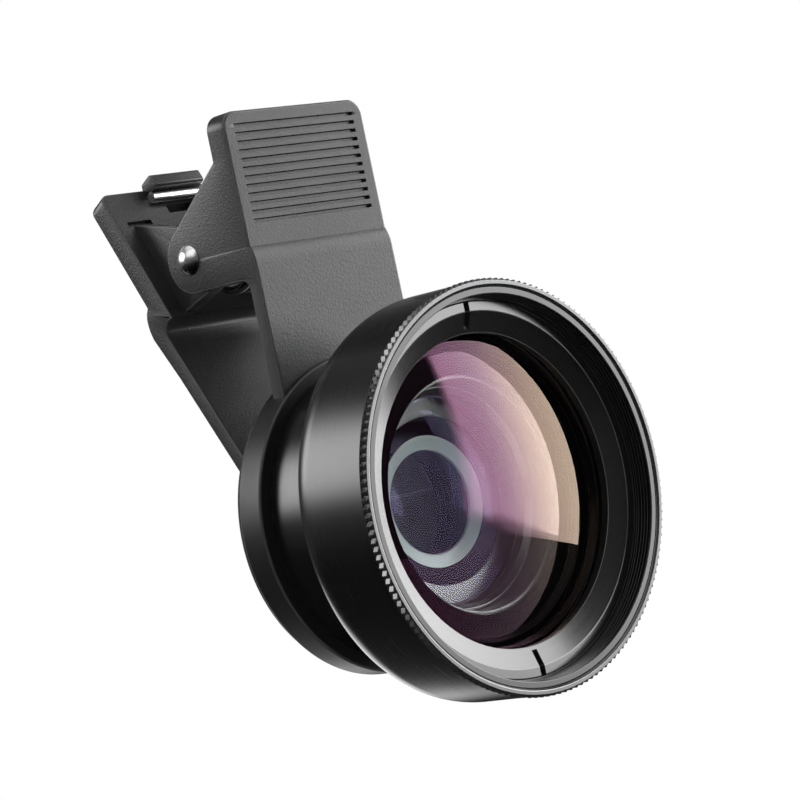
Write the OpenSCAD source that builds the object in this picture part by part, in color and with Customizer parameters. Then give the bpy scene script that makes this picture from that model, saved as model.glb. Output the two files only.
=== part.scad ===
// Clip-on phone lens: a sprung peg clip, a macro lens and a wide-angle lens.
// Millimetres. +Z runs up the clip, -Y is the way the lens looks.
// The origin lies on the lens axis, at the face that rests on the phone.
// "Forward" sizes are distances along -Y from that face.

/* [Clip] */
// width of both arms
clip_width = 24.8; // [22:0.2:28]
// top of the front thumb plate above the lens axis
clip_top = 54.2; // [52:0.2:58]
// thickness of the front thumb plate
thumb_thickness = 3.5; // [3:0.1:4.2]
// lower edge of the front thumb plate above the lens axis
thumb_foot = 36.6; // [35.5:0.1:38]
// how far the thumb plate sits behind the lower plate
thumb_recess = 0.65; // [0.4:0.05:1]
// thickness of the lower plate
arm_thickness = 2.1; // [1.8:0.1:2.6]
// radius of the thumb plate's upper corners
corner_radius = 2.2; // [1.5:0.1:3]

/* [Thumb grooves] */
// number of grooves
groove_count = 12; // [8:1:14]
// spacing from groove to groove
groove_pitch = 1.135; // [0.9:0.005:1.2]
// width of a groove
groove_width = 0.45; // [0.3:0.05:0.6]
// depth of a groove
groove_depth = 0.35; // [0.2:0.05:0.6]
// plain margin beside the grooves
groove_margin = 1.8; // [1.2:0.1:3]

/* [Pivot] */
// pivot behind the phone face
pivot_back = 7.9; // [7.4:0.1:8.6]
// pivot above the lens axis
pivot_up = 37.05; // [36.5:0.05:38]
// diameter of the rivet's shank
pin_diameter = 3.0; // [2.5:0.1:3.4]
// diameter of the rivet's domed heads
head_diameter = 4.0; // [3.8:0.1:5]
// height of the domed heads
head_height = 1.1; // [0.8:0.1:1.4]
// radius of the front arm's ears
ear_radius = 4.4; // [4:0.1:4.8]
// thickness of every ear
ear_thickness = 2.4; // [2:0.1:2.6]
// side gap between the front and the rear ears
ear_gap = 0.45; // [0.35:0.05:0.6]
// radial clearance of the shank in the rear ears
pin_clearance = 0.05; // [0.03:0.01:0.09]

/* [Spring] */
// diameter of the spring wire
wire_diameter = 1.5; // [1.2:0.1:1.6]
// mean diameter of the coil
coil_diameter = 9.2; // [8.4:0.1:9.6]
// whole turns of the coil, the legs add a part turn
coil_turns = 6; // [4:1:6]

/* [Rear arm] */
// lean of the rear thumb plate away from the front one
plate_lean = 27.3; // [25:0.1:29]
// thickness of the rear thumb plate
plate_thickness = 3.1; // [2.6:0.1:3.4]
// gap from the rivet's centre to the rear thumb plate
plate_gap = 8.25; // [8:0.05:9]
// length of the rear thumb plate's inner face
plate_length = 20.8; // [19:0.1:22]
// thickness of the jaw
jaw_thickness = 2.2; // [1.9:0.1:2.6]
// step back from the plate's inner face to the jaw's
jaw_step = 1.7; // [1.2:0.1:2.2]

/* [Pads] */
// thickness of the front rubber ring
pad_thickness = 1.2; // [0.8:0.1:1.6]
// thickness of the rear rubber pad
rear_pad_thickness = 1.2; // [0.8:0.1:1.6]
// margin from the edge of the jaw's foot to its pad
pad_margin = 1.4; // [1:0.1:2]
// gap between the pads with the clip shut
pad_gap = 0.3; // [0.3:0.05:0.6]

/* [Lens ring] */
// wall of the ring round its threaded bore
ring_wall = 3.0; // [2.6:0.1:3.6]
// depth of the ring along the lens axis
ring_depth = 4.2; // [3.9:0.1:5]
// how far the ring stands proud of the lower plate
ring_proud = 0.7; // [0.5:0.1:1]
// width of the lip behind the macro lens, in the ring and its rubber
window_lip = 6.5; // [6:0.1:7.2]
// thickness of the ring's rear lip
ring_lip = 0.7; // [0.5:0.1:1]
// gap between one screwed part and the next
screw_gap = 0.05; // [0.03:0.01:0.08]

/* [Macro lens] */
// step from the wide barrel's side in to the macro barrel's
macro_step = 6.7; // [6:0.1:7.4]
// length of the macro barrel ahead of the ring
macro_length = 14.75; // [14:0.05:16]
// shoulder from the barrel down to its rear thread
macro_shoulder = 1.3; // [1:0.1:1.8]
// wall of the barrel round its front socket
macro_wall = 2.8; // [2.4:0.1:3.2]
// depth of the front socket
socket_length = 6.0; // [5.5:0.1:7]
// diameter of the macro glass
macro_glass = 21.1; // [20:0.1:22]
// width of the lip that the macro glass rests on
macro_lip = 1.3; // [1:0.1:1.8]
// thickness of that lip
macro_lip_depth = 1.3; // [1:0.1:1.8]
// thickness of the macro glass at its edge
macro_edge = 1.6; // [1.2:0.1:2.4]
// rise of the macro glass's front surface
macro_rise = 3.2; // [2.4:0.1:3.8]
// rise of the macro glass's rear surface
macro_back_rise = 0.9; // [0.5:0.1:1.1]
// radial width of the macro retaining ring
macro_ring_width = 1.95; // [1.6:0.05:2.4]
// depth of the macro retaining ring
macro_ring_depth = 1.9; // [1.5:0.1:2.4]

/* [Wide lens] */
// outer diameter of the barrel
barrel_diameter = 52.0; // [51:0.1:54]
// length of the barrel from its rear face to the rim
barrel_length = 13.5; // [13:0.1:15]
// rounding of the barrel's rear edge along the axis
flare_length = 3.4; // [2.5:0.1:4]
// rounding of the barrel's rear edge across the axis
flare_depth = 1.6; // [1:0.1:2]
// wall of the barrel round the front bore
barrel_wall = 1.8; // [1.5:0.1:2.2]
// how far the macro barrel sits in the wide barrel
socket_depth = 3.1; // [2.6:0.1:3.6]
// wall of the threaded tail
tail_wall = 1.9; // [1.6:0.1:2.3]
// number of thread ridges in the front bore
filter_ridges = 4; // [3:1:5]
// depth of the front bore down to the retaining ring
filter_depth = 2.9; // [2.5:0.1:3.2]
// radial width of the front retaining ring
front_ring_width = 3.9; // [3.5:0.05:4.4]
// depth of that ring
front_ring_depth = 2.1; // [1.8:0.1:2.4]
// width of that ring's flat outer face
front_ring_flat = 1.25; // [1:0.05:1.6]
// fall of the ring's funnel from that face to its opening
funnel_fall = 1.0; // [0.6:0.1:1.4]
// width of the spanner slots
slot_width = 0.9; // [0.6:0.1:1.2]
// step from the front bore down to the front glass
glass_step = 1.6; // [1.3:0.1:2]
// thickness of the front glass at its edge
front_edge = 2.5; // [2:0.1:3]
// ledge that the front glass rests on
glass_ledge = 2.2; // [1.8:0.1:2.6]
// rise of the front glass's outer surface
front_rise = 2.3; // [1.8:0.1:2.4]
// hollow of the front glass's inner surface
front_hollow = 3.1; // [2:0.1:3.6]
// thickness of the rear glass at its edge
rear_edge = 1.7; // [1.4:0.1:2]
// rise of the rear glass's outer surface
rear_rise = 2.6; // [2:0.1:3]
// lip that the rear glass rests on
rear_lip = 1.2; // [0.9:0.1:1.6]
// thickness of the rubber washers
seal_thickness = 0.4; // [0.3:0.05:0.6]

/* [Knurled rim] */
// number of teeth
rim_teeth = 160; // [120:4:200]
// depth of a tooth
tooth_depth = 0.35; // [0.2:0.05:0.5]
// width of the rim along the axis
rim_width = 0.95; // [0.8:0.05:1.4]

/* [Hidden] */

// facets of round parts, and the small gap left between seated pieces
round_fn = 96;
hole_fn = 48;
seat = 0.02;

// small sizes that many pieces share
chamfer = 0.3;
glass_gap = 0.1;
tongue_depth = 1.05;
tongue_gap = 0.05;
thread_depth = 0.38;
thread_margin = 0.5;

// places worked out from the driving sizes
half_width = clip_width / 2;
ring_front = pad_thickness + ring_depth;
arm_front = ring_front - ring_proud;
arm_rear = arm_front - arm_thickness;
thumb_front = arm_front - thumb_recess;
thumb_rear = thumb_front - thumb_thickness;
ear_outer = half_width - ear_thickness;
rear_ear_outer = ear_outer - ear_gap;
rear_ear_inner = rear_ear_outer - ear_thickness;
pin_radius = pin_diameter / 2;
wire_radius = wire_diameter / 2;
coil_radius = coil_diameter / 2;

// the rear plate's inner face, a distance plate_gap from the rivet
plate_normal = [cos(plate_lean), -sin(plate_lean)];
plate_down = [-sin(plate_lean), -cos(plate_lean)];
pivot = [pivot_back, pivot_up];
plate_rise = 17.6;
plate_top = pivot + plate_gap * plate_normal - plate_rise * plate_down;

// radii of the barrels and of the ring
barrel_radius = barrel_diameter / 2;
body_radius = barrel_radius - macro_step;
mount_radius = body_radius - macro_shoulder;
screw_radius = body_radius - macro_wall;
ring_radius = mount_radius + ring_wall;
rear_window = mount_radius - window_lip;

// macro barrel, forward distances and radii
macro_tail = pad_thickness + ring_lip + glass_gap;
macro_flange = ring_front + screw_gap;
macro_front = macro_flange + macro_length;
socket_floor = macro_front - socket_length;
lip_front = macro_tail + macro_lip_depth;
macro_radius = macro_glass / 2;
macro_ring_rear = socket_floor - macro_ring_depth - glass_gap;

// wide barrel, forward distances and radii
barrel_rear = macro_front - socket_depth;
barrel_front = barrel_rear + barrel_length;
socket_roof = macro_front + screw_gap;
cavity_floor = socket_roof + tail_wall / 2;
tail_end = socket_floor + 2 * glass_gap;
rim_rear = barrel_front - rim_width;
nose_radius = barrel_radius - barrel_wall / 2;
filter_radius = barrel_radius - barrel_wall;
front_radius = filter_radius - glass_step;
seat_radius = front_radius + glass_gap;
cavity_radius = seat_radius - glass_ledge;
ring_face = barrel_front - filter_depth;
ring_back = ring_face - front_ring_depth;
glass_seat = ring_back - seal_thickness - front_edge;
ring_bore = filter_radius - thread_depth;
ring_outer = ring_bore - screw_gap;
opening_radius = ring_outer - front_ring_width;
tail_bore = screw_radius - tail_wall;
rear_radius = tail_bore - glass_gap;
rear_seat = tail_end + ring_lip + screw_gap;

// helpers

// points of an arc in the plane, from angle a0 to a1
function arc(c, rx, ry, a0, a1, n) =
    [for (i = [0:n]) let (a = a0 + (a1 - a0) * i / n)
        [c[0] + rx * cos(a), c[1] + ry * sin(a)]];

// point on the rear plate: distance down its face and inwards off it
function on_plate(down, off) = plate_top + down * plate_down - off * plate_normal;

// direction of the line from p that touches a circle at c on its left or right
function touch_angle(p, c, r, side) =
    atan2(c[1] - p[1], c[0] - p[0]) + side * asin(r / norm(c - p));
function touch_point(p, c, r, side) =
    let (a = touch_angle(p, c, r, side), l = sqrt(pow(norm(c - p), 2) - r * r))
    p + l * [cos(a), sin(a)];

// a side outline in Y and Z, given its thickness along X
module side_plate(x0, x1) {
    translate([x0, 0, 0]) rotate([90, 0, 90])
        linear_extrude(height = x1 - x0) children();
}

// a front outline in X and Z, given its span in forward distances
module front_plate(f0, f1) {
    translate([0, -f0, 0]) rotate([90, 0, 0])
        linear_extrude(height = f1 - f0) children();
}

// an outline of radius and forward distance, turned about the lens axis
module turned(fn = round_fn) {
    rotate([90, 0, 0]) rotate_extrude($fn = fn) children();
}

// a plain ring about the lens axis
module washer(r_in, r_out, f0, f1, fn = round_fn) {
    turned(fn) translate([r_in, f0]) square([r_out - r_in, f1 - f0]);
}

module along_x(r, x0, x1, fn = hole_fn) {
    translate([x0, pivot_back, pivot_up]) rotate([0, 90, 0])
        cylinder(r = r, h = x1 - x0, $fn = fn);
}

// V-shaped thread grooves cut outwards from a bore
module bore_thread(r, f0, f1, count, depth) {
    pitch = (f1 - f0) / count;
    for (i = [0:count - 1])
        turned() polygon([[r - 0.2, f0 + (i + 0.14) * pitch], [r, f0 + (i + 0.14) * pitch],
            [r + depth, f0 + (i + 0.5) * pitch], [r, f0 + (i + 0.86) * pitch],
            [r - 0.2, f0 + (i + 0.86) * pitch]]);
}

// V-shaped thread grooves cut inwards from a shaft
module shaft_thread(r, f0, f1, count, depth) {
    pitch = (f1 - f0) / count;
    for (i = [0:count - 1])
        turned() polygon([[r + 0.2, f0 + (i + 0.14) * pitch], [r, f0 + (i + 0.14) * pitch],
            [r - depth, f0 + (i + 0.5) * pitch], [r, f0 + (i + 0.86) * pitch],
            [r + 0.2, f0 + (i + 0.86) * pitch]]);
}

// rows of round-ended grooves, laid on a face that looks along -Z
module groove_rows() {
    reach = half_width - groove_margin - groove_width / 2;
    for (i = [0:groove_count - 1])
        translate([0, -i * groove_pitch, 0]) {
            translate([-reach, -groove_width / 2, -groove_depth])
                cube([2 * reach, groove_width, 2 * groove_depth]);
            for (s = [-1, 1]) translate([s * reach, 0, -groove_depth])
                cylinder(d = groove_width, h = 2 * groove_depth, $fn = 16);
        }
}

// clip, front half

module front_arm_web() {
    step_top = thumb_foot;
    step_low = thumb_foot - 2.6;
    intersection() {
        side_plate(-half_width, half_width)
            polygon(concat(
                [[-arm_rear, 0], [-arm_front, 0], [-arm_front, step_low]],
                arc([-thumb_front, step_low], -thumb_recess, step_top - step_low, 15, 90, 6),
                arc([-thumb_front + 0.4, clip_top - 0.4], 0.4, 0.4, 180, 90, 3),
                arc([-thumb_rear - 0.4, clip_top - 0.4], 0.4, 0.4, 90, 0, 3),
                [[-thumb_rear, thumb_foot + 3.4], [-arm_rear, thumb_foot - 0.8]]));
        front_plate(-1, arm_front + 1)
            polygon(concat([[-half_width, 0], [half_width, 0]],
                arc([half_width - corner_radius, clip_top - corner_radius],
                    corner_radius, corner_radius, 0, 90, 8),
                arc([-half_width + corner_radius, clip_top - corner_radius],
                    corner_radius, corner_radius, 90, 180, 8)));
    }
}

module front_ear_outline() {
    start = [-thumb_rear, clip_top - 5.9];
    tip = touch_point(start, pivot, ear_radius, 1);
    slope = touch_angle(start, pivot, ear_radius, 1);
    fillet = 1.5;
    floor_z = pivot_up - ear_radius;
    polygon(concat([[-arm_rear - 0.4, floor_z - fillet], [-arm_rear - 0.4, start[1]], start],
        arc(pivot, ear_radius, ear_radius, slope + 90, -90, 16),
        arc([-arm_rear + fillet, floor_z - fillet], fillet, fillet, 90, 180, 6)));
}

// tongue that locks the arm into the ring, or with a gap its pocket
module arm_tongue(gap) {
    side = tongue_depth + tongue_gap - gap;
    intersection() {
        washer(ring_radius - tongue_depth - gap, ring_radius + chamfer,
            arm_rear + chamfer - gap, arm_front - chamfer + gap, 144);
        translate([-half_width + side, -arm_front, 0])
            cube([clip_width - 2 * side, arm_thickness, 2 * ring_radius]);
    }
}

module front_arm() {
    color([0.16, 0.16, 0.165])
    difference() {
        union() {
            difference() {
                front_arm_web();
                washer(0, ring_radius + seat, arm_rear - 1, ring_front + 1, 144);
            }
            for (s = [-1, 1])
                side_plate(s > 0 ? ear_outer : -half_width, s > 0 ? half_width : -ear_outer)
                    front_ear_outline();
            arm_tongue(0);
        }
        along_x(pin_radius + seat, -half_width - 1, half_width + 1);
        translate([0, -thumb_front, clip_top - groove_margin - chamfer / 3]) rotate([-90, 0, 0]) mirror([0, 1, 0])
            groove_rows();
    }
}

module lens_ring() {
    bore = mount_radius + screw_gap;
    lip = pad_thickness + ring_lip;
    color([0.07, 0.07, 0.075])
    difference() {
        turned(144) polygon([[rear_window, pad_thickness + seat],
            [ring_radius - chamfer, pad_thickness + seat],
            [ring_radius, pad_thickness + seat + chamfer], [ring_radius, ring_front - chamfer],
            [ring_radius - chamfer, ring_front], [bore, ring_front],
            [bore, lip], [rear_window, lip]]);
        bore_thread(bore, lip + thread_margin, ring_front - thread_margin, 4, thread_depth);
        arm_tongue(tongue_gap);
    }
}

module front_pad() {
    outer = ring_radius - ring_lip;
    color([0.05, 0.05, 0.05])
    turned() polygon([[rear_window, chamfer], [rear_window + chamfer, 0],
        [outer - chamfer, 0], [outer, chamfer], [outer, pad_thickness], [rear_window, pad_thickness]]);
}

module pivot_pin() {
    head = head_diameter / 2;
    dome = (head * head + head_height * head_height) / (2 * head_height);
    shank = half_width + seat;
    color([0.78, 0.78, 0.8])
    translate([0, pivot_back, pivot_up]) rotate([0, 90, 0])
        rotate_extrude($fn = hole_fn)
            polygon(concat([[0, -shank - head_height]],
                [for (i = [1:6]) let (x = head * sin(15 * i))
                    [x, -shank - head_height + dome - sqrt(dome * dome - x * x)]],
                [[pin_radius, -shank], [pin_radius, shank]],
                [for (i = [6:-1:1]) let (x = head * sin(15 * i))
                    [x, shank + head_height - dome + sqrt(dome * dome - x * x)]],
                [[0, shank + head_height]]));
}

// spring: one wire swept along bar, leg, coil, leg and bar

coil_half = (rear_ear_inner - wire_radius) - 0.9;
bar_half = 4.8;
bend = 1.5;
front_bar = [-thumb_rear + wire_radius + 0.03, clip_top - 6.7];
rear_bar = on_plate(1.95, wire_radius + 0.03);
front_leg = touch_angle(front_bar, pivot, coil_radius, -1);
rear_leg = touch_angle(rear_bar, pivot, coil_radius, 1);
coil_start = front_leg + 270;
coil_end = rear_leg + 90;
coil_sweep = 360 * coil_turns + (coil_end - coil_start + 720) % 360;

function leg_bend(bar, angle, x, side) =
    [for (i = [0:4]) let (a = 90 * i / 4)
        [x - side * bend * (1 - sin(a)),
         bar[0] + bend * (1 - cos(a)) * cos(angle),
         bar[1] + bend * (1 - cos(a)) * sin(angle)]];

function spring_path() = concat(
    [[bar_half, front_bar[0], front_bar[1]]],
    leg_bend(front_bar, front_leg, -coil_half, -1),
    [for (i = [0:coil_turns * 20 + 7])
        let (u = i / (coil_turns * 20 + 7), a = coil_start + coil_sweep * u)
        [-coil_half + 2 * coil_half * u,
         pivot[0] + coil_radius * cos(a), pivot[1] + coil_radius * sin(a)]],
    [for (i = [4:-1:0]) leg_bend(rear_bar, rear_leg, coil_half, 1)[i]],
    [[-bar_half, rear_bar[0], rear_bar[1]]]);

function unit(v) = v / norm(v);

module wire(path, r, sides) {
    n = len(path);
    tangents = [for (i = [0:n - 1])
        unit(path[min(i + 1, n - 1)] - path[max(i - 1, 0)])];
    // each section's first axis is the last one laid square to the wire again
    normals = [for (i = 0, v = [0, 0, 1]; i < n;
        i = i + 1,
        v = i < n ? unit(v - (v * tangents[i]) * tangents[i]) : v) v];
    rings = [for (i = [0:n - 1]) let (b = cross(tangents[i], normals[i]))
        [for (k = [0:sides - 1]) path[i]
            + r * cos(360 * k / sides) * normals[i] + r * sin(360 * k / sides) * b]];
    polyhedron(
        points = [for (ring = rings) each ring],
        faces = concat([[for (k = [0:sides - 1]) k]],
            [for (i = [0:n - 2], k = [0:sides - 1]) let (m = (k + 1) % sides)
                [i * sides + k, (i + 1) * sides + k, (i + 1) * sides + m, i * sides + m]],
            [[for (k = [sides - 1:-1:0]) (n - 1) * sides + k]]));
}

module torsion_spring() {
    color([0.7, 0.7, 0.72]) wire(spring_path(), wire_radius, 8);
}

// clip, rear half

foot_inner = pad_gap + rear_pad_thickness;
foot_radius = half_width;
foot_drop = 0.4;

module rear_arm_outline() {
    inner_kink = on_plate(plate_length, 0);
    outer_kink = on_plate(plate_length - 3.9, -plate_thickness);
    jaw_lean = 29.5;
    jaw_normal = [cos(jaw_lean), -sin(jaw_lean)];
    jaw_top = inner_kink + [jaw_step, -2.2];
    foot_bend = 3.2;
    // where the jaw's inner face meets the upright foot
    reach = (jaw_top[0] - foot_inner) / sin(jaw_lean);
    corner = jaw_top - reach * [sin(jaw_lean), cos(jaw_lean)];
    lead = foot_bend * tan(jaw_lean / 2);
    polygon(concat(
        [on_plate(0.5, 0), inner_kink],
        arc(inner_kink + [0, -1.9], jaw_step, 1.9, 70, 0, 6),
        [corner + lead * [sin(jaw_lean), cos(jaw_lean)],
         corner + [0.05, -lead * 0.3], corner + [0, -lead],
         [foot_inner, -foot_radius - 2], [foot_inner + jaw_thickness - 0.2, -foot_radius - 2],
         corner + [jaw_thickness - 0.2, -lead],
         corner + lead * [sin(jaw_lean), cos(jaw_lean)] + (jaw_thickness - 0.2) * jaw_normal,
         jaw_top - 5.5 * [sin(jaw_lean), cos(jaw_lean)] + jaw_thickness * jaw_normal,
         outer_kink + [0.05, -4.3], outer_kink + [0.5, -2.7], outer_kink + [0.55, -1.3],
         outer_kink, on_plate(0.8, -plate_thickness), on_plate(0.15, -plate_thickness + 0.5),
         on_plate(0, -plate_thickness + 1.0), on_plate(0, -0.4)]));
}

module rear_ear_outline() {
    nose = ear_radius - 0.4;
    high = on_plate(5.5, 0);
    low = on_plate(plate_length - 0.6, 0);
    a_high = (touch_angle(high, pivot, nose, -1) + 630) % 360;
    a_low = (touch_angle(low, pivot, nose, 1) + 450) % 360;
    polygon(concat([on_plate(plate_length - 0.6, -1), on_plate(5.5, -1), high],
        arc(pivot, nose, nose, a_high, a_low, 14), [low]));
}

module rear_arm() {
    color([0.15, 0.15, 0.155])
    difference() {
        union() {
            intersection() {
                side_plate(-half_width, half_width) rear_arm_outline();
                front_plate(-plate_top[0] - 2 * plate_thickness, 0)
                    polygon(concat(
                        arc([0, -foot_drop], foot_radius, foot_radius, 180, 360, 32),
                        arc([half_width - 1.5, plate_top[1] - 0.5], 1.5, 1.5, 0, 90, 5),
                        arc([-half_width + 1.5, plate_top[1] - 0.5], 1.5, 1.5, 90, 180, 5)));
            }
            for (s = [-1, 1])
                side_plate(s > 0 ? rear_ear_inner : -rear_ear_outer,
                           s > 0 ? rear_ear_outer : -rear_ear_inner) rear_ear_outline();
            // hook over the spring's bar
            side_plate(-bar_half + 0.4, bar_half - 0.4)
                polygon([on_plate(-0.9, -0.6), on_plate(-0.9, 2.0), on_plate(-0.6, 2.4),
                    on_plate(0.9, 2.4), on_plate(1.12, 2.1), on_plate(1.12, -0.6)]);
        }
        along_x(pin_radius + pin_clearance, -half_width, half_width);
        // core slot below the bar
        side_plate(-2.4, 2.4)
            polygon([on_plate(2.9, 1), on_plate(2.9, -plate_thickness - 1),
                on_plate(4.2, -plate_thickness - 1), on_plate(4.2, 1)]);
        // relief notches beside the ears
        for (x = [-rear_ear_outer - 0.9, -rear_ear_inner, rear_ear_inner - 0.9, rear_ear_outer])
            side_plate(x, x + 0.9)
                polygon([on_plate(4.9, 1), on_plate(4.9, -0.6), on_plate(5.7, -0.6), on_plate(5.7, 1)]);
        translate([0, plate_top[0], plate_top[1]]) rotate([90 - plate_lean, 0, 0])
            translate([0, -2.6, -plate_thickness]) groove_rows();
    }
}

module rear_pad() {
    radius = foot_radius - pad_margin;
    color([0.05, 0.05, 0.05])
    intersection() {
        rotate([90, 0, 0]) rotate_extrude($fn = round_fn)
            polygon([[0, seat - foot_inner], [radius, seat - foot_inner],
                [radius, -pad_gap - chamfer], [radius - chamfer, -pad_gap], [0, -pad_gap]]);
        translate([-foot_radius, 0, -foot_radius])
            cube([clip_width, foot_radius, foot_radius + pad_margin / 2]);
    }
}

// macro lens

module macro_barrel() {
    body = body_radius;
    cell = macro_radius + screw_gap;
    socket = screw_radius + screw_gap;
    window = macro_radius - macro_lip;
    color([0.08, 0.08, 0.085])
    difference() {
        turned(144) polygon([[window, macro_tail], [mount_radius - chamfer, macro_tail],
            [mount_radius, macro_tail + chamfer], [mount_radius, macro_flange],
            [body - chamfer, macro_flange], [body, macro_flange + chamfer],
            [body, macro_front - chamfer], [body - chamfer, macro_front],
            [socket, macro_front], [socket, socket_floor], [cell, socket_floor],
            [cell, lip_front], [window, lip_front]]);
        shaft_thread(mount_radius, macro_tail + thread_margin, macro_flange - thread_margin,
            4, thread_depth);
        bore_thread(socket, socket_floor + thread_margin, macro_front - thread_margin,
            5, thread_depth);
    }
}

// height of a spherical face that rises to `rise` over a circle of radius `clear`
function face(x, clear, rise) = let (c = (clear * clear + rise * rise) / (2 * abs(rise)))
    sign(rise) * (sqrt(c * c - x * x) - c + abs(rise));

// glass with a ground edge from f0 to f1 and a spherical face at each end
module glass_outline(r, f0, f1, back_clear, back_rise, front_clear, rise) {
    steps = 10;
    polygon(concat(
        [for (i = [0:steps]) let (x = back_clear * i / steps) [x, f0 - face(x, back_clear, back_rise)]],
        [[r, f0], [r, f1]],
        [for (i = [steps:-1:0]) let (x = front_clear * i / steps) [x, f1 + face(x, front_clear, rise)]]));
}

module macro_lens() {
    clear = macro_radius - macro_lip - glass_gap;
    color([0.55, 0.5, 0.75, 0.5])
    turned() glass_outline(macro_radius, lip_front + seat, lip_front + macro_edge,
        clear, macro_back_rise, clear, macro_rise);
}

module macro_spacer() {
    color([0.06, 0.06, 0.06])
    washer(macro_radius - macro_lip, macro_radius, lip_front + macro_edge + seat,
        macro_ring_rear - seat);
}

module macro_ring() {
    opening = macro_radius - macro_ring_width;
    front = macro_ring_rear + macro_ring_depth;
    color([0.55, 0.58, 0.57])
    turned() polygon([[opening, macro_ring_rear], [macro_radius, macro_ring_rear],
        [macro_radius, front - chamfer], [macro_radius - chamfer, front],
        [opening, macro_ring_rear + 0.6 * macro_ring_depth]]);
}

// wide-angle lens

module wide_barrel() {
    socket = body_radius + glass_gap;
    glass_front = glass_seat + front_edge + glass_gap;
    window = rear_radius - rear_lip;
    nose_front = barrel_front - chamfer;
    color([0.08, 0.08, 0.085])
    difference() {
        turned(144) polygon(concat(
            [[socket, barrel_rear], [barrel_radius - flare_depth, barrel_rear]],
            arc([barrel_radius - flare_depth, barrel_rear + flare_length],
                flare_depth, flare_length, -80, 0, 10),
            [[barrel_radius, rim_rear - glass_gap], [nose_radius, rim_rear - glass_gap],
             [nose_radius, nose_front - chamfer / 2], [nose_radius - chamfer / 2, nose_front],
             [filter_radius + chamfer / 2, nose_front], [filter_radius, nose_front - chamfer / 2],
             [filter_radius, ring_face], [ring_bore, ring_face],
             [ring_bore, glass_front], [seat_radius, glass_front],
             [seat_radius, glass_seat], [cavity_radius, glass_seat],
             [cavity_radius, cavity_floor + chamfer], [tail_bore + chamfer, cavity_floor],
             [tail_bore, cavity_floor - chamfer], [tail_bore, rear_seat], [window, rear_seat],
             [window, tail_end], [screw_radius - chamfer, tail_end],
             [screw_radius, tail_end + chamfer], [screw_radius, socket_roof],
             [socket, socket_roof]]));
        bore_thread(filter_radius, ring_face + chamfer, nose_front - chamfer,
            filter_ridges, thread_depth);
        shaft_thread(screw_radius, tail_end + thread_margin, socket_roof - thread_margin,
            5, thread_depth);
    }
}

module front_rim() {
    tip = barrel_radius + 0.2;
    bore = nose_radius + seat;
    color([0.8, 0.8, 0.8])
    difference() {
        intersection() {
            front_plate(rim_rear, barrel_front)
                polygon([for (i = [0:2 * rim_teeth - 1])
                    let (a = 180 * i / rim_teeth, r = tip - (i % 2) * tooth_depth)
                    [r * cos(a), r * sin(a)]]);
            // bevelled front edge
            turned(144) polygon([[0, rim_rear], [tip + 0.1, rim_rear],
                [tip + 0.1, barrel_front - 0.2], [tip - tooth_depth, barrel_front], [0, barrel_front]]);
        }
        turned() polygon([[0, rim_rear - 1], [bore, rim_rear - 1],
            [bore, barrel_front - chamfer], [bore + chamfer, barrel_front],
            [bore + chamfer, barrel_front + 1], [0, barrel_front + 1]]);
    }
}

module front_lens() {
    color([0.75, 0.6, 0.65, 0.4])
    turned() glass_outline(front_radius, glass_seat + seat, glass_seat + front_edge,
        cavity_radius - 1.2 * chamfer, -front_hollow, opening_radius, front_rise);
}

module front_seal() {
    color([0.04, 0.04, 0.04])
    washer(opening_radius + rear_lip, front_radius, glass_seat + front_edge + seat,
        ring_back - seat);
}

module retaining_ring() {
    outer = ring_outer;
    color([0.3, 0.3, 0.3])
    difference() {
        turned(144) polygon([[opening_radius, ring_back], [outer, ring_back],
            [outer, ring_face - chamfer / 2], [outer - chamfer / 2, ring_face],
            [outer - front_ring_flat, ring_face], [opening_radius, ring_face - funnel_fall]]);
        for (s = [0, 1]) mirror([0, 0, s])
            translate([-slot_width / 2, -ring_face - 1, opening_radius + 2 * chamfer])
                cube([slot_width, 1 + front_ring_depth / 2, front_ring_width]);
    }
}

module rear_lens() {
    color([0.6, 0.5, 0.65, 0.4])
    turned() glass_outline(rear_radius, rear_seat + seal_thickness, rear_seat + seal_thickness + rear_edge,
        rear_radius - rear_lip - 3 * chamfer, seal_thickness / 2, rear_radius - rear_lip, rear_rise);
}

module rear_lens_seal() {
    color([0.04, 0.04, 0.04])
    washer(rear_radius - rear_lip, rear_radius, rear_seat + seat,
        rear_seat + seal_thickness - seat);
}

module rear_lens_ring() {
    back = rear_seat + seal_thickness + rear_edge + seat;
    color([0.12, 0.12, 0.12])
    turned() polygon([[rear_radius - rear_lip + chamfer, back], [rear_radius, back],
        [rear_radius, back + 3 * chamfer], [rear_radius - chamfer, back + 3 * chamfer]]);
}

module cavity_baffle() {
    inner = tail_bore + 2 * chamfer;
    outer = cavity_radius - seat;
    wall = 1.5 * chamfer;
    low = cavity_floor + 1.2 * chamfer;
    color([0.03, 0.03, 0.03])
    turned() polygon([[inner, low], [outer, low],
        [outer, glass_seat - glass_gap], [outer - wall, glass_seat - glass_gap],
        [outer - wall, low + 2.5 * wall], [inner, low + wall]]);
}

front_arm();
lens_ring();
front_pad();
pivot_pin();
torsion_spring();
rear_arm();
rear_pad();
macro_barrel();
macro_lens();
macro_spacer();
macro_ring();
wide_barrel();
front_rim();
front_lens();
front_seal();
retaining_ring();
rear_lens();
rear_lens_seal();
rear_lens_ring();
cavity_baffle();
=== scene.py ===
"""Dresses the clip-on phone lens: fine surfaces, finishes, studio and camera.

Shapes are worked out in millimetres in the part's own frame and put into meshes in metres.
The lens axis is -Y, and "forward" sizes are distances along -Y from the phone's face.
"""

from __future__ import annotations

import logging
import math
from dataclasses import dataclass
from enum import Enum
from typing import Callable, Sequence

import bmesh
import bpy
import numpy as np
from mathutils import Matrix, Vector

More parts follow.
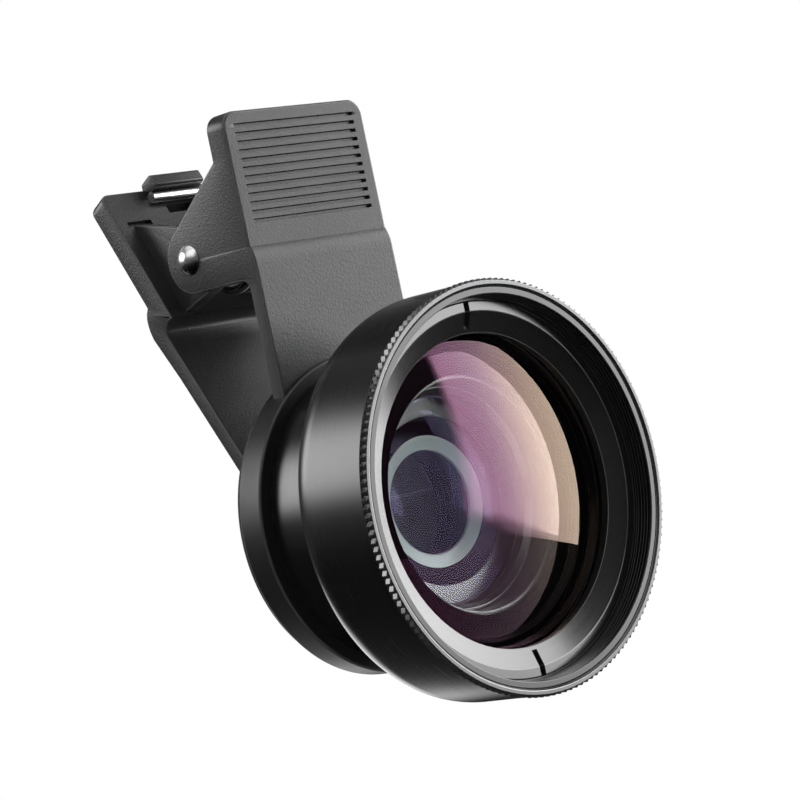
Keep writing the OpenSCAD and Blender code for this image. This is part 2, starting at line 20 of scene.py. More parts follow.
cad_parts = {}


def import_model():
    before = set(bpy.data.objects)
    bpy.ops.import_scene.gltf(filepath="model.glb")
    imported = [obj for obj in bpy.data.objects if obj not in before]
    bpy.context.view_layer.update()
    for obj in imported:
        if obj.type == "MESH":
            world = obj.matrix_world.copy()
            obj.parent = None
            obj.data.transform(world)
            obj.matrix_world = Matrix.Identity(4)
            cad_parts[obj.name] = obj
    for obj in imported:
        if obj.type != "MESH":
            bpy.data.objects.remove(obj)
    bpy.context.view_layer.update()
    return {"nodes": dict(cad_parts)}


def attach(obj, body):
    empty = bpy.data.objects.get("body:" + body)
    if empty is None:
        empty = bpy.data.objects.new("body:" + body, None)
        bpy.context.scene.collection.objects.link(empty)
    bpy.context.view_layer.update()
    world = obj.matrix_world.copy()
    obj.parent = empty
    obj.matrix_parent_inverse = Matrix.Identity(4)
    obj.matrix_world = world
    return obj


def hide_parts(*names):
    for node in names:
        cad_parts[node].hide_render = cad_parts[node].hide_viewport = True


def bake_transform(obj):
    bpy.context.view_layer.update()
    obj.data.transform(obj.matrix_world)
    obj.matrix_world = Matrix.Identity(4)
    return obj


LOG = logging.getLogger("clip_lens")
MM = 0.001
WELD = 1e-4
SHARP_ANGLE = math.radians(38)
EDGE = "edge"
FILLET_STEPS = 4
IMAGE_SIZE = 800

Array = np.ndarray
Colour = tuple[float, float, float]


class Turn(Enum):
    """The line that a turned piece is turned about."""

    LENS = "lens"
    RIVET = "rivet"


class Body(Enum):
    """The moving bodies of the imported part."""

    FRONT = "clip_front"
    REAR = "clip_rear"
    MACRO = "macro_group"
    WIDE = "wide_group"


# The rivet's centre line, in Y and Z
PIVOT = np.array([7.9, 37.05])


def smoothstep(x: Array, low: float, high: float) -> Array:
    """Eased step from 0 at low to 1 at high: 3t^2 - 2t^3.

    Args:
        x: values to ease.
        low: where the step begins.
        high: where the step ends.

    Returns:
        The eased values.
    """
    t = np.clip((x - low) / (high - low), 0.0, 1.0)
    return t * t * (3.0 - 2.0 * t)


def unit(v: Array) -> Array:
    """Returns vectors of length one along the last axis of v."""
    return v / np.maximum(np.linalg.norm(v, axis=-1, keepdims=True), 1e-12)


def arc(centre: Sequence[float], rx: float, ry: float, a0: float, a1: float, n: int) -> Array:
    """Points of an elliptic arc: centre + (rx cos a, ry sin a) for n + 1 angles from a0 to a1.

    Args:
        centre: centre of the arc.
        rx: radius along the first axis.
        ry: radius along the second axis.
        a0: first angle in degrees.
        a1: last angle in degrees.
        n: number of steps.

    Returns:
        An (n + 1, 2) array.
    """
    a = np.radians(np.linspace(a0, a1, n + 1))
    return np.c_[centre[0] + rx * np.cos(a), centre[1] + ry * np.sin(a)]


def line(a: Sequence[float], b: Sequence[float], n: int) -> Array:
    """Returns n + 1 points spaced evenly on the straight line from a to b."""
    t = np.linspace(0.0, 1.0, n + 1)[:, None]
    return np.asarray(a, float) * (1 - t) + np.asarray(b, float) * t


def touch(p: Array, c: Array, r: float, side: int) -> tuple[Array, float]:
    """Where a line from p touches a circle.

    The line's angle is the angle from p to c plus or minus asin(r / distance).

    Args:
        p: outside point.
        c: centre of the circle.
        r: radius of the circle.
        side: 1 or -1, for the two lines.

    Returns:
        The touching point and the line's angle in radians.
    """
    d = c - p
    reach = float(np.linalg.norm(d))
    angle = math.atan2(d[1], d[0]) + side * math.asin(r / reach)
    run = math.sqrt(reach * reach - r * r)
    return p + run * np.array([math.cos(angle), math.sin(angle)]), angle


def eased(points: Sequence[Sequence[float]], radii: Sequence[float] | float) -> tuple[Array, Array]:
    """Rounds every corner of a closed outline.

    A corner C between neighbours A and B becomes the curve (1-u)^2 P + 2u(1-u) C + u^2 Q, where
    P and Q lie on its two sides, a radius from C. One more point beyond P and Q keeps the
    flats next to the curve evenly shaded.

    Args:
        points: corners of the outline.
        radii: rounding of each corner, or one for all.

    Returns:
        The rounded outline, and for each point how far it is into a corner, from 0 to 1.
    """
    c = np.asarray(points, float)
    r = np.broadcast_to(np.asarray(radii, float), (len(c),))
    to_last = np.roll(c, 1, 0) - c
    to_next = np.roll(c, -1, 0) - c
    room = 0.36 * np.minimum(np.linalg.norm(to_last, axis=1), np.linalg.norm(to_next, axis=1))
    reach = np.minimum(r, room)[:, None, None]
    u = np.linspace(0.0, 1.0, FILLET_STEPS + 1)[None, :, None]
    p = c[:, None] + unit(to_last)[:, None] * reach
    q = c[:, None] + unit(to_next)[:, None] * reach
    curve = (1 - u) ** 2 * p + 2 * u * (1 - u) * c[:, None] + u**2 * q
    before = c[:, None] + unit(to_last)[:, None] * reach * 1.3
    after = c[:, None] + unit(to_next)[:, None] * reach * 1.3
    out = np.concatenate([before, curve, after], axis=1).reshape(-1, 2)
    bend = np.concatenate([[0.0], np.sin(np.pi * u[0, :, 0]) ** 0.5, [0.0]])
    edge = np.broadcast_to(bend, (len(c), len(bend))).reshape(-1)
    keep = np.linalg.norm(out - np.roll(out, 1, 0), axis=1) > 1e-5
    return out[keep], edge[keep]


@dataclass
class Patch:
    """A piece of surface: points, faces of three or four corners, and an edge weight each."""

    points: Array
    faces: Array
    edge: Array


def grid(points: Array, edge: Array | None = None, close_u: bool = False,
         close_v: bool = False, keep: Array | None = None) -> Patch:
    """Surface through a grid of points, with four-cornered faces between neighbours.

    Args:
        points: (rows, columns, 3) array.
        edge: edge weight, any shape that spreads over the grid.
        close_u: joins the last row to the first.
        close_v: joins the last column to the first.
        keep: which faces stay, for openings in the grid.

    Returns:
        The patch.
    """
    rows, cols = points.shape[:2]
    index = np.arange(rows * cols).reshape(rows, cols)
    if close_u:
        index = np.vstack([index, index[:1]])
    if close_v:
        index = np.hstack([index, index[:, :1]])
    faces = np.stack([index[:-1, :-1], index[1:, :-1], index[1:, 1:], index[:-1, 1:]], -1)
    faces = faces[keep] if keep is not None else faces.reshape(-1, 4)
    weight = np.zeros((rows, cols)) if edge is None else np.broadcast_to(edge, (rows, cols))
    return Patch(points.reshape(-1, 3), faces, weight.reshape(-1).astype(float))


def fan(ring: Array, edge: float = 0.0) -> Patch:
    """Closes a flat ring of points by three-cornered faces to its middle point."""
    n = len(ring)
    index = np.arange(n)
    faces = np.c_[index, np.roll(index, -1), np.full(n, n), np.full(n, -1)]
    return Patch(np.vstack([ring, ring.mean(0)]), faces, np.full(n + 1, edge))


def mirrored(patch: Patch) -> Patch:
    """Returns the patch reflected in the plane X = 0, with its faces turned to match."""
    faces = patch.faces[:, ::-1].copy()
    three = patch.faces[:, 3] < 0
    faces[three] = np.c_[patch.faces[three][:, 2::-1], np.full(three.sum(), -1)]
    return Patch(patch.points * [-1, 1, 1], faces, patch.edge)


def make_mesh(name: str, patches: Sequence[Patch]) -> bpy.types.Object:
    """Joins patches into one closed mesh, in metres, with its faces outwards.

    Points nearer than WELD are merged, faces that shrink to nothing are dropped, and the
    shell is turned so that its volume, the sum of its corners' triple products, is positive.

    Args:
        name: name of the new object.
        patches: surfaces in millimetres.

    Returns:
        The object, at the origin.
    """
    starts = np.cumsum([0] + [len(p.points) for p in patches[:-1]])
    points = np.concatenate([p.points for p in patches])
    faces = np.concatenate([np.where(p.faces < 0, -1, p.faces + s)
                            for p, s in zip(patches, starts)])
    _, first, same = np.unique(np.round(points / WELD).astype(np.int64), axis=0,
                               return_index=True, return_inverse=True)
    same = same.reshape(-1)
    edge = np.zeros(len(first))
    np.maximum.at(edge, same, np.concatenate([p.edge for p in patches]))
    corners = np.where(faces < 0, -1, same[faces])
    repeat = corners == np.roll(corners, 1, axis=1)
    short = (corners[:, 3] < 0) & (corners[:, 0] == corners[:, 2])
    corners = np.where(repeat, -1, corners)
    corners = corners[((corners >= 0).sum(1) >= 3) & ~short]
    order = np.argsort(corners < 0, axis=1, kind="stable")
    corners = np.take_along_axis(corners, order, axis=1)
    mesh = bpy.data.meshes.new(name)
    sizes = (corners >= 0).sum(1)
    mesh.vertices.add(len(first))
    mesh.vertices.foreach_set("co", (points[first] * MM).astype(np.float32).ravel())
    mesh.loops.add(int(sizes.sum()))
    mesh.loops.foreach_set("vertex_index", corners[corners >= 0].astype(np.int32))
    mesh.polygons.add(len(sizes))
    mesh.polygons.foreach_set("loop_start", np.r_[0, np.cumsum(sizes)[:-1]].astype(np.int32))
    mesh.polygons.foreach_set("loop_total", sizes.astype(np.int32))
    mesh.update(calc_edges=True)
    mesh.validate()
    face_outwards(mesh)
    mesh.attributes.new(EDGE, "FLOAT", "POINT").data.foreach_set("value", edge.astype(np.float32))
    mesh.polygons.foreach_set("use_smooth", np.ones(len(mesh.polygons), bool))
    mesh.set_sharp_from_angle(angle=SHARP_ANGLE)
    mesh.update()
    obj = bpy.data.objects.new(name, mesh)
    bpy.context.scene.collection.objects.link(obj)
    return obj


def face_outwards(mesh: bpy.types.Mesh) -> None:
    """Turns every face of a closed mesh outwards.

    Args:
        mesh: the mesh, whose shells may each start either way round.
    """
    work = bmesh.new()
    work.from_mesh(mesh)
    bmesh.ops.recalc_face_normals(work, faces=work.faces[:])
    if work.calc_volume(signed=True) < 0:
        bmesh.ops.reverse_faces(work, faces=work.faces[:])
    work.to_mesh(mesh)
    work.free()


def revolve(outline: Array, edge: Array, about: Turn = Turn.LENS, segments: int = 256,
            theta: Array | None = None, lift: Array | None = None,
            swell: Array | None = None, closed: bool = True) -> Patch:
    """Turns an outline of radius and distance into a surface.

    The point at radius r and distance h for the angle t is (r cos t, -h, r sin t) about the
    lens axis, and (h, PY + r cos t, PZ + r sin t) about the rivet at (PY, PZ).

    Args:
        outline: (rows, 2) radius and distance along the line.
        edge: edge weight of each row.
        about: the line to turn about.
        segments: number of steps round the line.
        theta: angle of every grid point in place of even steps, for shaped columns.
        lift: what is added to the distance of every grid point.
        swell: what is added to the radius of every grid point.
        closed: whether the last row joins the first.

    Returns:
        The turned surface.
    """
    even = np.linspace(0.0, 2 * np.pi, segments, endpoint=False)[None, :]
    t = even if theta is None else theta
    r = outline[:, :1] + (0.0 if swell is None else swell) + 0 * t
    h = outline[:, 1:] + (0.0 if lift is None else lift) + 0 * t
    if about is Turn.LENS:
        xyz = np.stack([r * np.cos(t), -h, r * np.sin(t)], -1)
    else:
        xyz = np.stack([h, PIVOT[0] + r * np.cos(t), PIVOT[1] + r * np.sin(t)], -1)
    return grid(xyz, edge[:, None], close_u=closed, close_v=True)


def turned(points: Sequence[Sequence[float]], radii: Sequence[float] | float,
           segments: int = 256) -> Patch:
    """Turns a closed outline with rounded corners about the lens axis."""
    outline, edge = eased(points, radii)
    return revolve(outline, edge, segments=segments)


def ridges(radius: float, low: float, high: float, count: int, depth: float) -> list[list[float]]:
    """Corners of V grooves cut into a wall, from low to high.

    Args:
        radius: radius of the wall.
        low: distance where the grooves begin.
        high: distance where they end.
        count: number of grooves.
        depth: how far each goes into the wall, outwards if positive.

    Returns:
        Pairs of radius and distance.
    """
    pitch = (high - low) / count
    at = low + (np.arange(count)[:, None] + np.array([0.14, 0.5, 0.86])) * pitch
    out = radius + np.array([0.0, depth, 0.0])[None, :] + 0 * at
    return np.stack([out.ravel(), at.ravel()], -1).tolist()


def prism(outline: Array, low: float, high: float, rounding: float,
          place: Callable[[Array, Array, Array], Array]) -> list[Patch]:
    """A flat plate with rounded edges, from an outline carried along a third axis.

    The wall is the outline itself. Towards each end the outline draws in along its normal by
    r (1 - cos a) while it moves on by r sin a, and a fan closes it.

    Args:
        outline: (n, 2) closed outline.
        low: where the plate begins.
        high: where it ends.
        rounding: radius of the rounding.
        place: turns the two outline coordinates and the third into points.

    Returns:
        Patches that close the plate.
    """
    span = np.roll(outline, -1, 0) - np.roll(outline, 1, 0)
    normal = unit(np.c_[span[:, 1], -span[:, 0]])
    area = np.sum(outline[:, 0] * np.roll(outline[:, 1], -1)
                  - np.roll(outline[:, 0], -1) * outline[:, 1])
    normal = normal * np.sign(area)
    a = np.linspace(np.pi / 2, 0, FILLET_STEPS + 1)
    inset = rounding * np.r_[1 - np.cos(a), (1 - np.cos(a))[::-1]]
    w = np.r_[low + rounding * (1 - np.sin(a)), high - rounding * (1 - np.sin(a[::-1]))]
    edge = np.r_[np.sin(2 * a), np.sin(2 * a)[::-1]] if rounding else np.zeros(len(w))
    uv = outline[None] - inset[:, None, None] * normal[None]
    xyz = place(uv[..., 0], uv[..., 1], w[:, None] + 0 * uv[..., 0])
    return [grid(xyz, edge[:, None], close_v=True), fan(xyz[0]), fan(xyz[-1])]


def along_x(u: Array, v: Array, w: Array) -> Array:
    """Places outline coordinates in Y and Z, and the third along X."""
    return np.stack([w, u, v], -1)


def along_y(u: Array, v: Array, w: Array) -> Array:
    """Places outline coordinates in X and Z, and the third along Y."""
    return np.stack([u, w, v], -1)


def chain_normals(chain: Array) -> Array:
    """Unit normals of an open chain in a plane: its direction turned by a right angle."""
    run = np.gradient(chain, axis=0)
    return unit(np.c_[run[:, 1], -run[:, 0]])


class Graph:
    """Short calls for building a node tree."""

    def __init__(self, tree: bpy.types.NodeTree) -> None:
        """Empties the tree and keeps it."""
        tree.nodes.clear()
        self.tree = tree

    def node(self, kind: str, **settings: object) -> bpy.types.Node:
        """Adds a node and sets the given properties of it."""
        made = self.tree.nodes.new(kind)
        for key, value in settings.items():
            setattr(made, key, value)
        return made

    def put(self, socket: bpy.types.NodeSocket, value: object) -> None:
        """Links value into socket if it is a socket, and otherwise sets it there."""
        if isinstance(value, bpy.types.NodeSocket):
            self.tree.links.new(value, socket)
        else:
            socket.default_value = value

    def math(self, operation: str, a: object, b: object = 0.0, c: object = 0.0,
             clamp: bool = False) -> bpy.types.NodeSocket:
        """Adds a Math node.

        Args:
            operation: the node's operation.
            a: first number or socket.
            b: second number or socket.
            c: third number or socket.
            clamp: whether the result is held between 0 and 1.

        Returns:
            The result's socket.
        """
        made = self.node("ShaderNodeMath", operation=operation, use_clamp=clamp)
        for socket, value in zip(made.inputs, (a, b, c)):
            self.put(socket, value)
        return made.outputs[0]

    def dot(self, a: object, b: object) -> bpy.types.NodeSocket:
        """Returns the dot product of two vectors or sockets."""
        made = self.node("ShaderNodeVectorMath", operation="DOT_PRODUCT")
        self.put(made.inputs[0], a)
        self.put(made.inputs[1], b)
        return made.outputs["Value"]

    def span(self, value: object, low: float, high: float, to_low: float = 0.0,
             to_high: float = 1.0, smooth: bool = True) -> bpy.types.NodeSocket:
        """Maps the range low to high of value to to_low to to_high, and holds it there."""
        kind = "SMOOTHSTEP" if smooth else "LINEAR"
        made = self.node("ShaderNodeMapRange", interpolation_type=kind, clamp=True)
        for key, number in (("Value", value), ("From Min", low), ("From Max", high),
                            ("To Min", to_low), ("To Max", to_high)):
            self.put(made.inputs[key], number)
        return made.outputs["Result"]

    def noise(self, vector: object, scale: float, detail: float = 2.0,
              roughness: float = 0.5) -> bpy.types.NodeSocket:
        """Returns the value of a noise pattern on vector."""
        made = self.node("ShaderNodeTexNoise")
        for key, value in (("Vector", vector), ("Scale", scale), ("Detail", detail),
                           ("Roughness", roughness)):
            self.put(made.inputs[key], value)
        return made.outputs[0]

    def cells(self, vector: object, scale: float) -> bpy.types.NodeSocket:
        """Returns the distance to the nearest cell point of a cell pattern."""
        made = self.node("ShaderNodeTexVoronoi")
        self.put(made.inputs["Vector"], vector)
        self.put(made.inputs["Scale"], scale)
        return made.outputs["Distance"]

    def blend(self, amount: object, a: object, b: object) -> bpy.types.NodeSocket:
        """Returns a colour between a and b."""
        made = self.node("ShaderNodeMix", data_type="RGBA")
        self.put(made.inputs["Factor"], amount)
        for socket, value in ((made.inputs["A"], a), (made.inputs["B"], b)):
            whole = isinstance(value, bpy.types.NodeSocket) or len(value) == 4
            self.put(socket, value if whole else (*value, 1.0))
        return made.outputs["Result"]

    def bump(self, height: object, strength: float, depth: float) -> bpy.types.NodeSocket:
        """Returns a normal raised by height, with depth in metres."""
        made = self.node("ShaderNodeBump")
        made.inputs["Strength"].default_value = strength
        made.inputs["Distance"].default_value = depth
        self.put(made.inputs["Height"], height)
        return made.outputs[0]

    def position(self) -> bpy.types.NodeSocket:
        """Returns the object's own coordinates."""
        return self.node("ShaderNodeTexCoord").outputs["Object"]

    def edge(self) -> bpy.types.NodeSocket:
        """Returns the edge weight of the mesh, 1 on a rounded corner."""
        return self.node("ShaderNodeAttribute", attribute_name=EDGE).outputs["Fac"]

    def stretched(self, vector: object, scale: Sequence[float]) -> bpy.types.NodeSocket:
        """Returns vector multiplied by scale, axis by axis."""
        made = self.node("ShaderNodeMapping", vector_type="POINT")
        self.put(made.inputs["Vector"], vector)
        made.inputs["Scale"].default_value = scale
        return made.outputs[0]

    def surface(self, shader: bpy.types.NodeSocket) -> None:
        """Ends the tree in a material output."""
        self.put(self.node("ShaderNodeOutputMaterial").inputs["Surface"], shader)


@dataclass(frozen=True)
class Finish:
    """What every finish shares: a name, and how to find or build its material."""

    name: str

    def material(self) -> bpy.types.Material:
        """Returns the finish's material, built on first use."""
        found = bpy.data.materials.get(self.name)
        if found is None:
            found = bpy.data.materials.new(self.name)
            found.use_nodes = True
            graph = Graph(found.node_tree)
            self.dress(graph, graph.node("ShaderNodeBsdfPrincipled"))
        return found

    def dress(self, graph: Graph, shader: bpy.types.Node) -> None:
        """Fills in the tree; each kind of finish has its own."""
        raise NotImplementedError


@dataclass(frozen=True)
class Moulding(Finish):
    """Moulded plastic: a fine grain, cloudy gloss, and rounded edges painted paler, partly as wear
    and partly as a painted highlight.
    """

    colour: Colour
    edge_wear_highlight_colour: Colour
    roughness: float = 0.42
    specular: float = 0.5
    grain: float = 5200.0
    grain_depth: float = 0.000012

    def dress(self, graph: Graph, shader: bpy.types.Node) -> None:
        """Grain is two noises and clouds vary the gloss. A paler colour along the edge weight paints
        wear and a highlight on the rounded edges.
        """
        at = graph.position()
        fine = graph.noise(at, self.grain, 3.0, 0.6)
        pits = graph.cells(at, self.grain * 0.55)
        clouds = graph.noise(at, 130.0, 3.0, 0.55)
        # Paler rounded edges: partly wear, partly a painted highlight where light would catch the
        # edges.
        wear_and_highlight = graph.math("MULTIPLY", graph.edge(), graph.span(clouds, 0.2, 0.7, 0.55, 1.0))
        shade = graph.blend(graph.span(fine, 0.25, 0.75), tuple(0.86 * c for c in self.colour),
                            tuple(1.14 * c for c in self.colour))
        graph.put(shader.inputs["Base Color"], graph.blend(wear_and_highlight, shade, self.edge_wear_highlight_colour))
        rough = graph.math("MULTIPLY_ADD", clouds, 0.16, self.roughness - 0.08)
        graph.put(shader.inputs["Roughness"], graph.math("MULTIPLY_ADD", wear_and_highlight, -0.1, rough))
        height = graph.math("MULTIPLY_ADD", pits, 0.5, fine)
        graph.put(shader.inputs["Normal"], graph.bump(height, 0.6, self.grain_depth))
        shader.inputs["Specular IOR Level"].default_value = self.specular
        graph.surface(shader.outputs[0])


@dataclass(frozen=True)
class TurnedMetal(Finish):
    """Metal turned on a lathe: fine rings along the axis under its colour or plating."""

    colour: Colour
    edge_wear_highlight_colour: Colour
    roughness: float = 0.3
    metallic: float = 0.0
    specular: float = 0.5
    ring_pitch: float = 5200.0
    ring_depth: float = 0.0000015
    speckle: float = 0.05
    coat: float = 0.0
    coat_roughness: float = 0.1
    sideways: bool = False

    def dress(self, graph: Graph, shader: bpy.types.Node) -> None:
        """Rings are noise stretched round the axis, speckle roughens colour and gloss, and a paler
        colour on the rounded edges paints wear and a highlight.
        """
        at = graph.position()
        along = (self.ring_pitch, 30.0, 30.0) if self.sideways else (30.0, self.ring_pitch, 30.0)
        rings = graph.noise(graph.stretched(at, along), 1.0, 3.0, 0.6)
        dust = graph.noise(at, 4200.0, 2.0, 0.6)
        clouds = graph.noise(at, 90.0, 2.0, 0.5)
        # Paler rounded edges: partly wear, partly a painted highlight where light would catch the
        # edges.
        wear_and_highlight = graph.math("MULTIPLY", graph.edge(), graph.span(clouds, 0.2, 0.8, 0.5, 1.0))
        low = tuple(c * (1 - self.speckle) for c in self.colour)
        high = tuple(c * (1 + self.speckle) for c in self.colour)
        shade = graph.blend(graph.span(dust, 0.3, 0.7), low, high)
        graph.put(shader.inputs["Base Color"], graph.blend(wear_and_highlight, shade, self.edge_wear_highlight_colour))
        rough = graph.math("MULTIPLY_ADD", rings, 0.1, self.roughness - 0.05)
        graph.put(shader.inputs["Roughness"],
                  graph.math("MULTIPLY_ADD", clouds, 0.08, graph.math("SUBTRACT", rough, 0.04)))
        height = graph.math("MULTIPLY_ADD", dust, 0.6, rings)
        graph.put(shader.inputs["Normal"], graph.bump(height, 0.5, self.ring_depth))
        shader.inputs["Metallic"].default_value = self.metallic
        shader.inputs["Specular IOR Level"].default_value = self.specular
        shader.inputs["Coat Weight"].default_value = self.coat
        shader.inputs["Coat Roughness"].default_value = self.coat_roughness
        graph.surface(shader.outputs[0])


@dataclass(frozen=True)
class Rubber(Finish):
    """Soft black rubber: matte, faintly dusty, with a close pebble grain."""

    colour: Colour = (0.018, 0.018, 0.019)
    roughness: float = 0.75

    def dress(self, graph: Graph, shader: bpy.types.Node) -> None:
        """Pebbles are a cell pattern, and dust pales the colour in soft clouds."""
        at = graph.position()
        pebbles = graph.cells(at, 2600.0)
        clouds = graph.noise(at, 160.0, 4.0, 0.6)
        pale = tuple(1.8 * c for c in self.colour)
        graph.put(shader.inputs["Base Color"],
                  graph.blend(graph.span(clouds, 0.35, 0.75), self.colour, pale))
        graph.put(shader.inputs["Roughness"],
                  graph.math("MULTIPLY_ADD", clouds, 0.2, self.roughness - 0.1))
        graph.put(shader.inputs["Normal"], graph.bump(pebbles, 0.5, 0.00002))
        shader.inputs["Specular IOR Level"].default_value = 0.3
        shader.inputs["Sheen Weight"].default_value = 0.08
        graph.surface(shader.outputs[0])


@dataclass(frozen=True)
class CoatedGlass(Finish):
    """Lens glass with a coloured coating, which lets the lamps through to what lies behind."""

    tint_left: Colour
    tint_right: Colour
    across: tuple[float, float]
    ior: float = 1.52
    body: Colour = (1.0, 1.0, 1.0)
    smudge: float = 0.012

    def dress(self, graph: Graph, shader: bpy.types.Node) -> None:
        """The coating's colour runs across X, and faint smudges vary the polish."""
        at = graph.position()
        place = graph.node("ShaderNodeSeparateXYZ")
        graph.put(place.inputs[0], at)
        left, right = (x * MM for x in self.across)
        side = graph.span(place.outputs["X"], left, right)
        tint = graph.blend(side, self.tint_left, self.tint_right)
        graph.put(shader.inputs["Specular Tint"], tint)
        smears = graph.noise(at, 60.0, 3.0, 0.6)
        graph.put(shader.inputs["Roughness"], graph.span(smears, 0.4, 0.8, 0.0, self.smudge))
        shader.inputs["Base Color"].default_value = (*self.body, 1.0)
        shader.inputs["IOR"].default_value = self.ior
        shader.inputs["Transmission Weight"].default_value = 1.0
        clear = graph.node("ShaderNodeBsdfTransparent")
        path = graph.node("ShaderNodeLightPath")
        mix = graph.node("ShaderNodeMixShader")
        straight = graph.math("MAXIMUM", path.outputs["Is Shadow Ray"],
                              path.outputs["Is Diffuse Ray"])
        graph.put(mix.inputs[0], straight)
        graph.put(mix.inputs[1], shader.outputs[0])
        graph.put(mix.inputs[2], clear.outputs[0])
        graph.surface(mix.outputs[0])


# The second colour of each moulding and turned metal is painted on rounded edges: partly wear, partly
# a painted highlight.
CLIP_PLASTIC = Moulding("clip_plastic_finish", (0.027, 0.027, 0.0285), (0.11, 0.11, 0.115),
                        roughness=0.31, specular=0.38, grain_depth=0.00004)
RING_PLASTIC = Moulding("ring_plastic_finish", (0.012, 0.012, 0.013), (0.06, 0.06, 0.065),
                        roughness=0.38, specular=0.3, grain_depth=0.000004)
BARREL_BLACK = TurnedMetal("barrel_black_finish", (0.006, 0.006, 0.0065), (0.04, 0.04, 0.042),
                           roughness=0.25, specular=0.6, ring_depth=0.0000006)
RING_BLACK = TurnedMetal("ring_black_finish", (0.012, 0.012, 0.0125), (0.12, 0.12, 0.125),
                         roughness=0.22, specular=0.9)
MATTE_BLACK = TurnedMetal("matte_black_finish", (0.002, 0.002, 0.002), (0.006, 0.006, 0.006),
                          roughness=0.85, specular=0.0, speckle=0.4)
BARE_RING = TurnedMetal("bare_ring_finish", (0.3, 0.35, 0.33), (0.5, 0.53, 0.5),
                        roughness=0.4, metallic=0.3)
RIM_BRIGHT = TurnedMetal("rim_bright_finish", (0.1, 0.1, 0.102), (0.28, 0.28, 0.28),
                         roughness=0.25, metallic=0.8)
RIVET_STEEL = TurnedMetal("rivet_steel_finish", (0.82, 0.82, 0.83), (0.86, 0.86, 0.86),
                          roughness=0.26, metallic=1.0, sideways=True)
SPRING_STEEL = TurnedMetal("spring_steel_finish", (0.68, 0.68, 0.69), (0.7, 0.7, 0.7),
                           roughness=0.22, metallic=1.0, sideways=True)
PAD_RUBBER = Rubber("pad_rubber_finish")
SEAL_RUBBER = Rubber("seal_rubber_finish", (0.012, 0.012, 0.012), 0.6)
FRONT_GLASS = CoatedGlass("front_glass_finish", (0.36, 0.07, 0.24), (0.92, 0.5, 0.2),
                          (-1.0, 14.0), ior=1.55)
REAR_GLASS = CoatedGlass("rear_glass_finish", (0.12, 0.08, 0.5), (0.4, 0.16, 0.25),
                         (4.0, 12.0), ior=1.2)
MACRO_GLASS = CoatedGlass("macro_glass_finish", (0.2, 0.15, 0.8), (0.5, 0.2, 0.75),
                          (-6.0, 6.0), ior=1.28)


def mount(obj: bpy.types.Object, finish: Finish, body: Body,
          nodes: Sequence[str]) -> bpy.types.Object:
    """Gives a piece its finish and its body, and hides the CAD nodes that it stands for.

    Args:
        obj: the piece.
        finish: its finish.
        body: the body that it rides on.
        nodes: CAD nodes that it replaces.

    Returns:
        The piece.
    """
    obj.data.materials.clear()
    obj.data.materials.append(finish.material())
    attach(obj, body.value)
    if nodes:
        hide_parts(*nodes)
    LOG.info("%s: %d faces", obj.name, len(obj.data.polygons))
    return obj


def refinish(nodes: dict[str, bpy.types.Object], node: str, finish: Finish) -> None:
    """Gives a CAD node that stays its finish, through its object's own slots."""
    obj = nodes[node]
    for slot in obj.material_slots:
        slot.link = "OBJECT"
        slot.material = finish.material()
    LOG.info("%s: CAD mesh kept", node)


@dataclass
class Grooves:
    """Rows of round-ended grooves across a thumb plate."""

    count: int = 12
    pitch: float = 1.135
    width: float = 0.5
    depth: float = 0.5
    reach: float = 10.375

    def offsets(self) -> Array:
        """Returns where a groove's section needs rows, about its centre."""
        half = self.width / 2
        return np.array([-1.35, -1.0, -0.62, 0.0, 0.62, 1.0, 1.35]) * half

    def rows(self, first: float) -> Array:
        """Returns the distances that every groove needs, from the first groove's centre."""
        return (first + self.pitch * np.arange(self.count)[:, None] + self.offsets()).ravel()

    def sink(self, x: Array, s: Array, first: float) -> Array:
        """Depth of the grooves at X = x and distance s.

        It is the full depth within 0.62 of the half width of a groove's centre line, and
        falls to nothing at the half width. Past the line's ends the distance is radial.

        Args:
            x: place across the plate.
            s: distance along the plate, growing from groove to groove.
            first: distance of the first groove.

        Returns:
            The depth.
        """
        turn = np.clip(np.round((s - first) / self.pitch), 0, self.count - 1)
        off = s - first - turn * self.pitch
        away = np.hypot(np.maximum(np.abs(x) - self.reach, 0.0), off) / (self.width / 2)
        return self.depth * np.clip((1.0 - away) / 0.38, 0.0, 1.0)

    def columns(self) -> Array:
        """Returns the places across the plate that the grooves' ends need."""
        half = self.width / 2
        return self.reach + half * np.array([-2.0, 0.0, 0.33, 0.62, 0.8, 1.0, 1.5])


